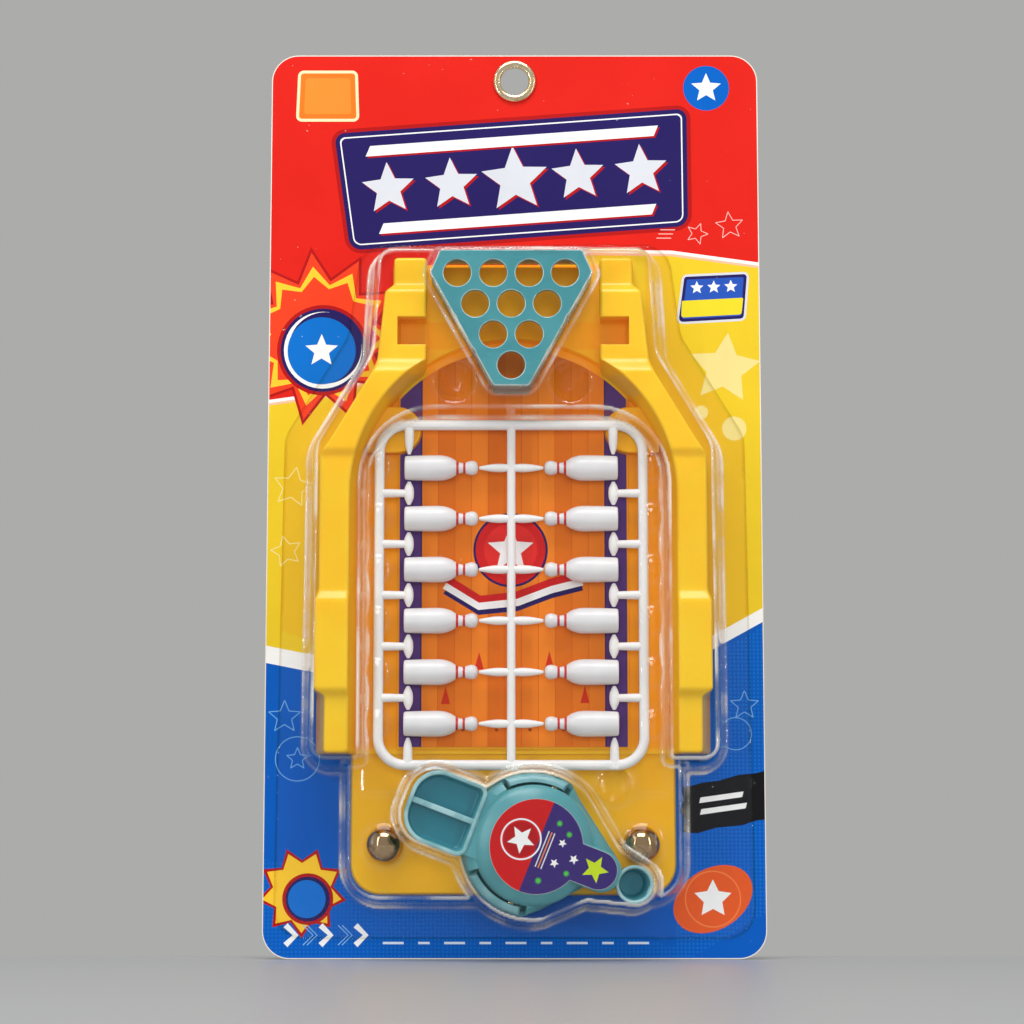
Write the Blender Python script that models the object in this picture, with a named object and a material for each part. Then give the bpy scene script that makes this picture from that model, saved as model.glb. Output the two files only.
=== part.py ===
"""Tabletop bowling game in its hanging retail pack.

A printed card hangs from a brass eyelet. A clear blister holds an alley tray with its printed lane, a
sprue frame with twelve pins, a rack plate that spots the pins, two steel balls and a rocking launcher.

World frame, in metres: the origin is the centre of the eyelet hole on the card's back face, +X is right,
+Z is up and the pack faces -Y. Most pieces are drawn in the pack's own frame instead: x to the right,
y up the card, and height h out of the card's front face, towards the viewer.
"""

import math

import bpy
import bmesh
from mathutils import Matrix, Vector

# General fits and wall sizes
SEAT_GAP = 0.0003
CUT_OVERRUN = 0.002
CORNER_STEPS = 4
ARC_STEPS = 8

# Edges that turn by more than these angles stay sharp
FLAT_PIECE_ANGLE = math.radians(35.0)
TURNED_PIECE_ANGLE = math.radians(50.0)
BALL_ANGLE = math.radians(60.0)

# Pieces whose curved faces run so close together that the exact Boolean solver tears them
MANIFOLD_PIECES = ("backing_card", "launcher_base", "launcher_arm", "blister", "sprue")

# Backing card
CARD_WIDTH = 0.150
CARD_HEIGHT = 0.2759
CARD_THICKNESS = 0.0010
CARD_CORNER_RADIUS = 0.0083
CARD_TOP_ABOVE_HOLE = 0.0083

# Brass eyelet
EYELET_BORE_RADIUS = 0.0043
EYELET_WALL = 0.0004
EYELET_FLANGE_RADIUS = 0.0066
EYELET_FLANGE_RISE = 0.0009
EYELET_REAR_RADIUS = 0.0060
EYELET_REAR_THICKNESS = 0.0003
EYELET_UNDERFLUSH = 0.0001

# Alley tray: places along the card are measured down from the eyelet, so they are negative
TRAY_CENTRE_X = -0.0004
TRAY_GUTTER_LEVEL = 0.0038
TRAY_LANE_LEVEL = 0.0046
TRAY_FOOT_LEVEL = 0.0030
TRAY_LEDGE_LEVEL = 0.0080
TRAY_DRAFT = 0.0010
TRAY_GUTTER_DRAFT = 0.0024
TRAY_SLAB_INSET = 0.0016
TRAY_TOP_Y = -0.0587
TRAY_POST_STEP_Y = -0.0670
TRAY_POST_STEP_RUN = 0.0022
TRAY_SHOULDER_TOP_Y = -0.0900
TRAY_SHOULDER_RUN = 0.0040
TRAY_SHOULDER_END_Y = -0.1148
TRAY_SIDE_TOP_Y = -0.1176
TRAY_SIDE_RUN = 0.0014
TRAY_GRIP_TOP_Y = -0.1594
TRAY_GRIP_RUN = 0.0030
TRAY_GRIP_END_Y = -0.1889
TRAY_GRIP_END_RUN = 0.0014
TRAY_RIM_END_Y = -0.2072
POST_TIP_HALF_WIDTH = 0.0358
POST_HALF_WIDTH = 0.0384
POST_TIP_HEIGHT = 0.0150
POST_HEIGHT = 0.0170
SHOULDER_HEIGHT = 0.0195
SIDE_HEIGHT = 0.0182
GRIP_HEIGHT = 0.0200
LOWER_HEIGHT = 0.0176
POST_INNER_HALF_WIDTH = 0.0260
ARCH_RADIUS = 0.0485
POST_ROOT_STEP_IN = 0.0079
SHOULDER_TOP_STEP_IN = 0.0065
SHOULDER_END_RIM_WIDTH = 0.0061
SIDE_TOP_RIM_WIDTH = 0.0081
SIDE_RIM_WIDTH = 0.0090
GRIP_RIM_WIDTH = 0.0101
LOWER_RIM_WIDTH = 0.0072
POST_ROOT_HALF_WIDTH = ARCH_RADIUS - POST_ROOT_STEP_IN
SHOULDER_TOP_HALF_WIDTH = ARCH_RADIUS - SHOULDER_TOP_STEP_IN
SHOULDER_END_HALF_WIDTH = ARCH_RADIUS + SHOULDER_END_RIM_WIDTH
SIDE_TOP_HALF_WIDTH = ARCH_RADIUS + SIDE_TOP_RIM_WIDTH
SIDE_HALF_WIDTH = ARCH_RADIUS + SIDE_RIM_WIDTH
GRIP_HALF_WIDTH = ARCH_RADIUS + GRIP_RIM_WIDTH
LOWER_HALF_WIDTH = ARCH_RADIUS + LOWER_RIM_WIDTH
ARCH_CENTRE_Y = -0.1311
ARCH_STEPS = 9
RIM_WALL = 0.0016
RIM_HOLLOW_TOP_Y = -0.1240
NOTCH_TOP_Y = -0.0772
NOTCH_LENGTH = 0.0084
NOTCH_REACH = 0.0086
NOTCH_DEPTH = 0.0080
LOBE_RADIUS = 0.0070
LOBE_STEP_IN = 0.0137
LOBE_CENTRE_X = ARCH_RADIUS - LOBE_STEP_IN
LOBE_CENTRE_Y = -0.1100
LOBE_LEVEL = 0.0075
LOBE_DRAFT = 0.0004
LOBE_STEPS = 10
FOOT_HALF_WIDTH = 0.0481
FOOT_BOTTOM_Y = -0.2484
FOOT_CORNER_RADIUS = 0.0085
FOOT_DRAFT = 0.0005

# Printed lane sheet
GUTTER_AND_EDGE_WIDTH = 0.0144
LANE_SHEET_HALF_WIDTH = ARCH_RADIUS - GUTTER_AND_EDGE_WIDTH
LANE_SHEET_BOTTOM_Y = -0.2051
LANE_SHEET_THICKNESS = 0.0002
LANE_SHEET_ARCH_MARGIN = 0.0026
LANE_PLATFORM_MARGIN = 0.0007

# Steel balls and the dimples that hold them
BALL_RADIUS = 0.0055
BALL_OUT_X = 0.0380
BALL_Y = -0.2339
SPARE_DIMPLE_X = 0.0300
SPARE_DIMPLE_Y = -0.2161
DIMPLE_DEPTH = 0.0020
DIMPLE_MOUTH_RADIUS = 0.0052
BALL_STEPS = 14
BALL_RINGS = 8

# Pins and their sprue frame
SPRUE_CENTRE_X = -0.0010
PIN_ROWS = 6
PIN_FIRST_Y = -0.1219
PIN_PITCH = 0.0153
PIN_LENGTH = 0.0220
PIN_BODY_RADIUS = 0.00385
PIN_BASE_RADIUS = 0.0036
PIN_NECK_RADIUS = 0.00155
PIN_HEAD_RADIUS = 0.0022
PIN_BASE_ROUND = 0.0005
PIN_BODY_LENGTH = 0.0122
PIN_SHOULDER_LENGTH = 0.0034
PIN_NECK_LENGTH = 0.0024
PIN_BULGE_SHARE = 0.33
PIN_HEAD_START = math.radians(-30.0)
PIN_STEPS = 12
SPRUE_SIDE_CLEARANCE = 0.0090
PIN_BASE_STEP_IN = 0.0076
GATE_STEP_IN = 0.0013
SPRUE_HALF_WIDTH = ARCH_RADIUS - SPRUE_SIDE_CLEARANCE
PIN_BASE_OUT = SPRUE_HALF_WIDTH - PIN_BASE_STEP_IN
SPRUE_TOP_Y = -0.1089
SPRUE_BOTTOM_Y = -0.2106
SPRUE_CORNER_RADIUS = 0.0082
SPRUE_CORNER_STEPS = 5
RUNNER_RADIUS = 0.00155
BRANCH_RADIUS = 0.0013
GATE_RADIUS = 0.00045
GATE_OUT = PIN_BASE_OUT - GATE_STEP_IN
SPINDLE_RADIUS = 0.0015
END_SPINDLE_RADIUS = 0.0014
RUNNER_ROOT_RADIUS = 0.0010
RUNNER_MIDDLE_RADIUS = 0.0013
STUB_END_RADIUS = 0.0011
SPINDLE_END_SHARE = 0.28
RUNNER_SIDES = 6

# Rack plate that spots the pins
RACK_CENTRE_X = -0.0010
RACK_TOP_Y = -0.0581
RACK_TOP_HALF_WIDTH = 0.0212
RACK_CORNER_Y = -0.0650
RACK_CORNER_HALF_WIDTH = 0.0242
RACK_TIP_Y = -0.0992
RACK_TIP_HALF_WIDTH = 0.0053
RACK_NOTCH_ONE_Y = -0.0774
RACK_NOTCH_TWO_Y = -0.0877
RACK_NOTCH_DEPTH = 0.0008
RACK_NOTCH_END_DEPTH = 0.0014
RACK_NOTCH_LENGTH = 0.0024
RACK_TOP_LEVEL = 0.0235
RACK_PLATE_THICKNESS = 0.0020
RACK_SKIRT_WALL = 0.0014
RACK_HOLE_RADIUS = 0.0041
RACK_HOLE_PITCH = 0.0107
RACK_FIRST_ROW_Y = -0.0652
RACK_ROWS = 4
RACK_HOLE_STEPS = 16

# Launcher: u runs along the arm from the paddle to the cup, v across it, and h out of the card
LAUNCHER_X = 0.0053
LAUNCHER_Y = -0.2340
LAUNCHER_TURN = math.radians(21.0)
ARM_REST_TILT = math.radians(9.0)
AXLE_HEIGHT = 0.0105
AXLE_RADIUS = 0.0015
AXLE_CLEARANCE = 0.0003
AXLE_STEPS = 16
BASE_RADIUS = 0.0214
BASE_FLOOR_THICKNESS = 0.0020
BASE_CHEEK_INNER_RADIUS = 0.0182
BASE_CHEEK_LEVEL = 0.0135
BASE_CHEEK_ROUND = 0.0020
BASE_CHEEK_BEVEL = 0.0005
BASE_CHEEK_INSET = 0.0004
BASE_CHEEK_START = math.radians(80.0)
BASE_CHEEK_END = math.radians(134.0)
BASE_SHOULDER_ANGLE = math.radians(78.0)
BASE_NECK_ROOT_U = 0.0089
BASE_NECK_ROOT_V = 0.0170
BASE_UPPER_END_U = 0.0245
BASE_UPPER_END_V = 0.0055
BASE_LOWER_END_U = 0.0183
BASE_LOWER_END_V = 0.0064
BASE_SKIRT_LEVEL = 0.0042
BASE_SKIRT_WALL = 0.0016
BASE_STEPS = 32
HUB_TOP_RADIUS = 0.0146
HUB_BOTTOM_RADIUS = 0.0176
HUB_TOP_LEVEL = 0.0068
HUB_BOTTOM_LEVEL = -0.0033
HUB_SHOULDER_LEVEL = 0.0022
HUB_EDGE_ROUND = 0.0008
HUB_STEPS = 28
APRON_STEP_IN = 0.0008
APRON_PADDLE_ANGLE = math.radians(138.0)
APRON_CUP_ANGLE = math.radians(76.0)
APRON_LOW_LEVEL = -0.0010
APRON_SHOULDER_LEVEL = 0.0020
APRON_TOP_LEVEL = 0.0036
APRON_SLANT = 0.0022
NECK_END = 0.0208
NECK_HALF_WIDTH = 0.0060
NECK_TOP_LEVEL = 0.0066
NECK_THICKNESS = 0.0040
CUP_OUT = 0.0317
CUP_RADIUS = 0.0057
CUP_MOUTH_RADIUS = 0.0047
CUP_FLOOR_RADIUS = 0.0036
CUP_FOOT_RADIUS = 0.0049
CUP_TOP_LEVEL = 0.0048
CUP_HEIGHT = 0.0072
CUP_FLOOR_THICKNESS = 0.0013
CUP_STEPS = 18
PADDLE_FAR_END = 0.0397
PADDLE_NEAR_END = 0.0183
PADDLE_HALF_WIDTH = 0.0110
PADDLE_FAR_RADIUS = 0.0085
PADDLE_NEAR_RADIUS = 0.0030
PADDLE_TOP_LEVEL = 0.0046
PADDLE_HEIGHT = 0.0052
PADDLE_RIM = 0.0013
PADDLE_FLOOR_THICKNESS = 0.0015
PADDLE_DRAFT = 0.0006
PADDLE_RIB_HALF_WIDTH = 0.0009
PADDLE_RIB_DROP = 0.0010
STICKER_RADIUS = 0.0138
STICKER_END = 0.0196
STICKER_TONGUE_HALF_WIDTH = 0.0056
STICKER_THICKNESS = 0.0002

# Clear blister: inside faces stay clear of what they cover
BLISTER_WALL = 0.0004
BLISTER_TRAY_LEVEL = 0.0212
BLISTER_TROUGH_LEVEL = 0.0143
BLISTER_FOOT_LEVEL = 0.0137
BLISTER_RACK_LEVEL = 0.0249
BLISTER_LAUNCHER_LEVEL = 0.0262
BLISTER_DRAFT = 0.0026
BLISTER_FOOT_DRAFT = 0.0014
BLISTER_RACK_GROWTH = 0.0013
BLISTER_POCKET_GROWTH = 0.0016
BLISTER_FLANGE_RADIUS = 0.0090
BLISTER_FLANGE_TOP_Y = -0.0515
BLISTER_FLANGE_TOP_WIDTH = 0.0062
BLISTER_FLANGE_WAIST_Y = -0.0800
BLISTER_FLANGE_WAIST_WIDTH = 0.0080
BLISTER_FLANGE_SHOULDER_Y = -0.1110
BLISTER_FLANGE_SHOULDER_WIDTH = 0.0104
BLISTER_FLANGE_SIDE_WIDTH = 0.0116
BLISTER_FLANGE_FOOT_WIDTH = 0.0115
BLISTER_TOP_Y = -0.0566
BLISTER_TOP_HALF_WIDTH = 0.0408
BLISTER_WAIST_Y = -0.0885
BLISTER_WAIST_CLEARANCE = 0.0022
BLISTER_WAIST_HALF_WIDTH = POST_ROOT_HALF_WIDTH + BLISTER_WAIST_CLEARANCE
BLISTER_SHOULDER_Y = -0.1160
BLISTER_SHOULDER_CLEARANCE = 0.0028
BLISTER_SHOULDER_HALF_WIDTH = SIDE_TOP_HALF_WIDTH + BLISTER_SHOULDER_CLEARANCE
BLISTER_SIDE_END_Y = -0.2095
BLISTER_SIDE_CLEARANCE = 0.0016
BLISTER_SIDE_HALF_WIDTH = GRIP_HALF_WIDTH + BLISTER_SIDE_CLEARANCE
BLISTER_FOOT_HALF_WIDTH = 0.0496
BLISTER_FOOT_BOTTOM_Y = -0.2502
BLISTER_FOOT_CORNER_RADIUS = 0.0098
BLISTER_CORNER_RADIUS = 0.0050
BLISTER_SHOULDER_RADIUS = 0.0110
BLISTER_DIP_CLEARANCE = 0.0035
BLISTER_DIP_HALF_WIDTH = ARCH_RADIUS - BLISTER_DIP_CLEARANCE
BLISTER_DIP_TOP_Y = -0.1045
BLISTER_DIP_RADIUS = 0.0220
BLISTER_DIP_DRAFT = 0.0008
BLISTER_OVERLAP = 0.0100
BLISTER_RACK_RADIUS = 0.0025
BLISTER_POCKET_DRAFT = 0.0013
BLISTER_DOME_RADIUS = 0.0068
BLISTER_DOME_RISE = 0.0016
BLISTER_DOME_STEPS = 4
BLISTER_BUMP_OUT = 0.0405
BLISTER_BUMP_HALF_WIDTH = 0.0030
BLISTER_BUMP_HALF_LENGTH = 0.0044
BLISTER_BUMP_RADIUS = 0.0026
BLISTER_BUMP_RISE = 0.0014
BLISTER_BUMP_DRAFT = 0.0013
LEVEL_STEP = 0.0003

# Colours as linear red, green, blue
CARD_RED = (0.80, 0.020, 0.012)
BRASS = (0.80, 0.52, 0.20)
CLEAR_PLASTIC = (0.92, 0.95, 0.97)
YELLOW_PLASTIC = (0.98, 0.56, 0.030)
LANE_ORANGE = (0.80, 0.22, 0.018)
TEAL_PLASTIC = (0.065, 0.30, 0.33)
WHITE_PLASTIC = (0.86, 0.86, 0.84)
BALL_STEEL = (0.60, 0.60, 0.60)
STICKER_PURPLE = (0.060, 0.030, 0.20)


def clear_scene():
    """Empties the scene of every object."""
    for item in list(bpy.data.objects):
        bpy.data.objects.remove(item)


def material(name, colour, roughness, metallic=0.0, transmission=0.0):
    """A Principled material of one colour."""
    made = bpy.data.materials.new(name)
    made.use_nodes = True
    shader = made.node_tree.nodes["Principled BSDF"]
    shader.inputs["Base Color"].default_value = (*colour, 1)
    shader.inputs["Roughness"].default_value = roughness
    shader.inputs["Metallic"].default_value = metallic
    shader.inputs["Transmission Weight"].default_value = transmission
    made.diffuse_color = (*colour, 1)
    return made


def new_object(name, mesh_data):
    """An object for a finished bmesh, with its faces pointing out."""
    bmesh.ops.recalc_face_normals(mesh_data, faces=mesh_data.faces)
    mesh = bpy.data.meshes.new(name)
    mesh_data.to_mesh(mesh)
    mesh_data.free()
    made = bpy.data.objects.new(name, mesh)
    bpy.context.scene.collection.objects.link(made)
    return made


def finish(piece, finish_material, parent, smooth_angle=FLAT_PIECE_ANGLE):
    """Gives a piece its material, its parent and its shading."""
    piece.data.materials.clear()
    piece.data.materials.append(finish_material)
    piece.data.shade_smooth()
    piece.data.set_sharp_from_angle(angle=smooth_angle)
    piece.parent = parent
    return piece


def combine(target, other, operation):
    """Joins another solid to the target, or cuts it out, and drops the other solid."""
    modifier = target.modifiers.new(operation.lower(), "BOOLEAN")
    modifier.operation = operation
    modifier.solver = "MANIFOLD" if target.name.split(".")[0] in MANIFOLD_PIECES else "EXACT"
    modifier.object = other
    graph = bpy.context.evaluated_depsgraph_get()
    result = bpy.data.meshes.new_from_object(target.evaluated_get(graph))
    target.modifiers.clear()
    target.data = result
    bpy.data.objects.remove(other)
    return target


def join(target, *others):
    """Boolean union of several solids."""
    for other in others:
        combine(target, other, "UNION")
    return target


def cut(target, *cutters):
    """Boolean difference with several cutters."""
    for cutter in cutters:
        combine(target, cutter, "DIFFERENCE")
    return target


def arc_points(centre_x, centre_y, radius, start, end, steps):
    """Points on an arc, from one angle to another, both ends included."""
    angles = [start + (end - start) * step / steps for step in range(steps + 1)]
    return [(centre_x + radius * math.cos(a), centre_y + radius * math.sin(a)) for a in angles]


def circle_points(centre_x, centre_y, radius, steps):
    """Points of a full circle."""
    return arc_points(centre_x, centre_y, radius, 0, 2 * math.pi, steps)[:-1]


def grown_corners(corners, growth):
    """Corners (x, y, radius) of a counter-clockwise outline, with each side moved out by growth."""
    grown = []
    for index, (x, y, radius) in enumerate(corners):
        here = Vector((x, y))
        before = Vector(corners[index - 1][:2])
        after = Vector(corners[(index + 1) % len(corners)][:2])
        side_in = (here - before).normalized()
        side_out = (after - here).normalized()
        normal_in = Vector((side_in.y, -side_in.x))
        normal_out = Vector((side_out.y, -side_out.x))
        shift = (normal_in + normal_out) * (growth / (1 + normal_in.dot(normal_out)))
        turn = side_in.x * side_out.y - side_in.y * side_out.x
        changed = radius + growth if turn > 0 else radius - growth
        point = here + shift
        grown.append((point.x, point.y, max(changed, radius / 2) if radius else 0))
    return grown


def rounded(corners, growth=0.0, steps=CORNER_STEPS):
    """Outline through corners (x, y, radius), each rounded to its radius."""
    corners = grown_corners(corners, growth)
    outline = []
    for index, (x, y, radius) in enumerate(corners):
        here = Vector((x, y))
        if not radius:
            outline.append((x, y))
            continue
        before = (Vector(corners[index - 1][:2]) - here).normalized()
        after = (Vector(corners[(index + 1) % len(corners)][:2]) - here).normalized()
        half_angle = before.angle(after) / 2
        centre = here + (before + after).normalized() * (radius / math.sin(half_angle))
        run = radius / math.tan(half_angle)
        first = here + before * run - centre
        last = here + after * run - centre
        start = math.atan2(first.y, first.x)
        sweep = math.atan2(first.x * last.y - first.y * last.x, first.dot(last))
        outline += arc_points(centre.x, centre.y, radius, start, start + sweep, steps)
    return outline


def mirrored(half):
    """Counter-clockwise corners from the right half, which runs from top to bottom."""
    left = [(-x, y, radius) for x, y, radius in half]
    return left + half[::-1]


def loft(name, sections):
    """Closed solid through sections, each a list of points (x, y, h) of the same length."""
    mesh = bmesh.new()
    rings = [[mesh.verts.new(point) for point in section] for section in sections]
    for lower, upper in zip(rings, rings[1:]):
        for index, vert in enumerate(lower):
            after = (index + 1) % len(lower)
            mesh.faces.new((vert, lower[after], upper[after], upper[index]))
    mesh.faces.new(rings[0][::-1])
    mesh.faces.new(rings[-1])
    bmesh.ops.triangulate(mesh, faces=mesh.faces)
    return new_object(name, mesh)


def prism(name, outline, low, high, top_outline=None):
    """Solid between two heights, with an outline at its foot and one at its top."""
    top = top_outline or outline
    return loft(name, [[(x, y, low) for x, y in outline], [(x, y, high) for x, y in top]])


def box(name, low, high):
    """Rectangular block between two corners."""
    outline = [(low[0], low[1]), (high[0], low[1]), (high[0], high[1]), (low[0], high[1])]
    return prism(name, outline, low[2], high[2])


def turned(name, profile, steps, axis="h"):
    """Solid of revolution. The profile is a list (radius, distance along the axis), closed by the axis
    where its ends have no radius, and by itself elsewhere."""
    mesh = bmesh.new()
    rings = []
    for radius, along in profile:
        count = steps if radius else 1
        angles = [2 * math.pi * step / steps for step in range(count)]
        ring = [(radius * math.cos(a), radius * math.sin(a), along) for a in angles]
        if axis == "x":
            ring = [(h, x, y) for x, y, h in ring]
        if axis == "y":
            ring = [(y, h, x) for x, y, h in ring]
        rings.append([mesh.verts.new(point) for point in ring])
    open_profile = len(rings[0]) == 1
    pairs = list(zip(rings, rings[1:])) if open_profile else list(zip(rings, rings[1:] + rings[:1]))
    for lower, upper in pairs:
        for step in range(steps):
            after = (step + 1) % steps
            around = [lower[step % len(lower)], lower[after % len(lower)]]
            around += [upper[after % len(upper)], upper[step % len(upper)]]
            corners = list(dict.fromkeys(around))
            mesh.faces.new(corners)
    return new_object(name, mesh)


def rod(name, start, end, radius_start, radius_end, middle_radius=None):
    """Straight runner between two points, of one taper, or swollen along its middle."""
    start = Vector(start)
    end = Vector(end)
    along = (end - start).normalized()
    side = along.cross(Vector((0, 0, 1))).normalized()
    upward = side.cross(along)
    stations = [(start, radius_start), (end, radius_end)]
    if middle_radius:
        stations.insert(1, (end.lerp(start, SPINDLE_END_SHARE), middle_radius))
        stations.insert(1, (start.lerp(end, SPINDLE_END_SHARE), middle_radius))
    sections = []
    for centre, radius in stations:
        section = []
        for index in range(RUNNER_SIDES):
            angle = math.pi * (2 * index + 1) / RUNNER_SIDES
            section.append(centre + side * (radius * math.cos(angle)) + upward * (radius * math.sin(angle)))
        sections.append(section)
    return loft(name, sections)


def make_card(parent):
    """Printed board with its rounded corners, and the stepped hole that the eyelet is set in."""
    right = CARD_WIDTH / 2
    top = CARD_TOP_ABOVE_HOLE
    corners = mirrored([(right, top, CARD_CORNER_RADIUS), (right, top - CARD_HEIGHT, CARD_CORNER_RADIUS)])
    card = prism("backing_card", rounded(corners), -CARD_THICKNESS, 0)
    hole_radius = EYELET_BORE_RADIUS + EYELET_WALL + SEAT_GAP
    hole = circle_points(0, 0, hole_radius, HUB_STEPS)
    cut(card, prism("hole", hole, -CARD_THICKNESS - CUT_OVERRUN, CUT_OVERRUN))
    recess = circle_points(0, 0, EYELET_REAR_RADIUS + SEAT_GAP, HUB_STEPS)
    recess_top = -CARD_THICKNESS + EYELET_UNDERFLUSH + EYELET_REAR_THICKNESS + SEAT_GAP
    cut(card, prism("recess", recess, -CARD_THICKNESS - CUT_OVERRUN, recess_top))
    return finish(card, material("printed_card", CARD_RED, 0.35), parent)


def make_eyelet(parent):
    """Brass eyelet: a barrel, a rolled front flange and the clinched rim behind, pressed in flush."""
    rear = -CARD_THICKNESS + EYELET_UNDERFLUSH
    outer = EYELET_BORE_RADIUS + EYELET_WALL
    crown_radius = (EYELET_BORE_RADIUS + EYELET_FLANGE_RADIUS) / 2
    half_width = (EYELET_FLANGE_RADIUS - EYELET_BORE_RADIUS) / 2
    crown = arc_points(crown_radius, SEAT_GAP, half_width, 0, math.pi, CORNER_STEPS + 1)
    rise = EYELET_FLANGE_RISE / half_width
    profile = [(radius, SEAT_GAP + (h - SEAT_GAP) * rise) for radius, h in crown]
    profile += [(EYELET_BORE_RADIUS, rear), (EYELET_REAR_RADIUS, rear)]
    profile += [(EYELET_REAR_RADIUS, rear + EYELET_REAR_THICKNESS), (outer, rear + EYELET_REAR_THICKNESS)]
    profile += [(outer, SEAT_GAP)]
    eyelet = turned("eyelet", profile, HUB_STEPS)
    return finish(eyelet, material("brass", BRASS, 0.25, metallic=1.0), parent, TURNED_PIECE_ANGLE)


def rim_table():
    """Rim of the tray from top to bottom: (y, outer half width at its top, outer half width at its
    foot, height)."""
    step_end = TRAY_POST_STEP_Y - TRAY_POST_STEP_RUN
    shoulder = TRAY_SHOULDER_TOP_Y - TRAY_SHOULDER_RUN
    side = TRAY_SIDE_TOP_Y - TRAY_SIDE_RUN
    grip = TRAY_GRIP_TOP_Y - TRAY_GRIP_RUN
    lower = TRAY_GRIP_END_Y - TRAY_GRIP_END_RUN
    widths = [
        (TRAY_TOP_Y, POST_TIP_HALF_WIDTH, POST_TIP_HEIGHT),
        (TRAY_POST_STEP_Y, POST_TIP_HALF_WIDTH, POST_TIP_HEIGHT),
        (step_end, POST_HALF_WIDTH, POST_HEIGHT),
        (TRAY_SHOULDER_TOP_Y, POST_ROOT_HALF_WIDTH, POST_HEIGHT),
        (shoulder, SHOULDER_TOP_HALF_WIDTH, SHOULDER_HEIGHT),
        (TRAY_SHOULDER_END_Y, SHOULDER_END_HALF_WIDTH, SHOULDER_HEIGHT),
        (TRAY_SIDE_TOP_Y, SIDE_TOP_HALF_WIDTH, SHOULDER_HEIGHT),
        (side, SIDE_HALF_WIDTH, SIDE_HEIGHT),
        (TRAY_GRIP_TOP_Y, SIDE_HALF_WIDTH, SIDE_HEIGHT),
        (grip, GRIP_HALF_WIDTH, GRIP_HEIGHT),
        (TRAY_GRIP_END_Y, GRIP_HALF_WIDTH, GRIP_HEIGHT),
    ]
    table = [(y, half, half + TRAY_DRAFT, height) for y, half, height in widths]
    foot = GRIP_HALF_WIDTH + TRAY_DRAFT / 2
    table += [(lower, LOWER_HALF_WIDTH, foot, LOWER_HEIGHT)]
    table += [(TRAY_RIM_END_Y, LOWER_HALF_WIDTH, foot, LOWER_HEIGHT)]
    return table


def rim_at(table, y):
    """Rim sizes at a place between two rows of the table."""
    for upper, lower in zip(table, table[1:]):
        if upper[0] >= y >= lower[0]:
            share = (upper[0] - y) / (upper[0] - lower[0])
            return [a + (b - a) * share for a, b in zip(upper[1:], lower[1:])]
    return table[-1][1:]


def inner_half_width(y, radius):
    """Half width of the opening between the rims: the posts' gap above, the arch, then straight."""
    if y <= ARCH_CENTRE_Y:
        return radius
    reach = math.sqrt(max(radius**2 - (y - ARCH_CENTRE_Y) ** 2, 0))
    return max(reach, POST_INNER_HALF_WIDTH)


def make_rim(side):
    """One long rim of the tray, from its post down to its end, for side 1 or -1."""
    table = rim_table()
    post_angle = math.acos(POST_INNER_HALF_WIDTH / ARCH_RADIUS)
    arch = arc_points(0, ARCH_CENTRE_Y, ARCH_RADIUS, post_angle, 0, ARCH_STEPS)
    places = sorted({y for _, y in arch} | {row[0] for row in table}, reverse=True)
    sections = []
    for y in places:
        outer_top, outer_foot, height = rim_at(table, y)
        inner_top = inner_half_width(y, ARCH_RADIUS)
        arched = inner_top > POST_INNER_HALF_WIDTH
        inner_foot = inner_half_width(y, ARCH_RADIUS - TRAY_GUTTER_DRAFT) if arched else inner_top
        section = [(outer_foot, SEAT_GAP), (outer_top, height), (inner_top, height), (inner_foot, SEAT_GAP)]
        sections.append([(side * x, y, h) for x, h in section])
    return loft("rim", sections)


def make_rim_hollow(side):
    """Space inside a long rim, open behind, that leaves an even wall."""
    table = rim_table()
    last = TRAY_RIM_END_Y + RIM_WALL
    wall = RIM_WALL + TRAY_DRAFT
    inner = ARCH_RADIUS + RIM_WALL
    grip_top = TRAY_GRIP_TOP_Y - TRAY_GRIP_RUN - RIM_WALL
    grip_end = TRAY_GRIP_END_Y + RIM_WALL
    lower = TRAY_GRIP_END_Y - TRAY_GRIP_END_RUN
    rows = [RIM_HOLLOW_TOP_Y, TRAY_GRIP_TOP_Y, grip_top, grip_end, lower, last]
    sections = []
    for y in rows:
        outer_top, outer_foot, height = rim_at(table, y)
        top = height - RIM_WALL
        outer_low = outer_top - RIM_WALL
        section = [(outer_low, -CUT_OVERRUN), (outer_top - wall, top), (inner, top), (inner, -CUT_OVERRUN)]
        sections.append([(side * x, y, h) for x, h in section])
    return loft("rim_hollow", sections)


def dimple_cutter(x, y):
    """Turned cutter for a shallow round seat in the foot deck."""
    radius = (DIMPLE_MOUTH_RADIUS**2 + DIMPLE_DEPTH**2) / (2 * DIMPLE_DEPTH)
    floor = TRAY_FOOT_LEVEL - DIMPLE_DEPTH
    half_angle = math.asin(DIMPLE_MOUTH_RADIUS / radius)
    steps = CORNER_STEPS - 1
    angles = [half_angle * step / steps for step in range(steps + 1)]
    profile = [(radius * math.sin(a), floor + radius - radius * math.cos(a)) for a in angles]
    profile[0] = (0, floor)
    above = TRAY_FOOT_LEVEL + CUT_OVERRUN
    profile += [(DIMPLE_MOUTH_RADIUS, above), (0, above)]
    cutter = turned("dimple", profile, BALL_STEPS)
    cutter.data.transform(Matrix.Translation((x, y, 0)))
    return cutter


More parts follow.
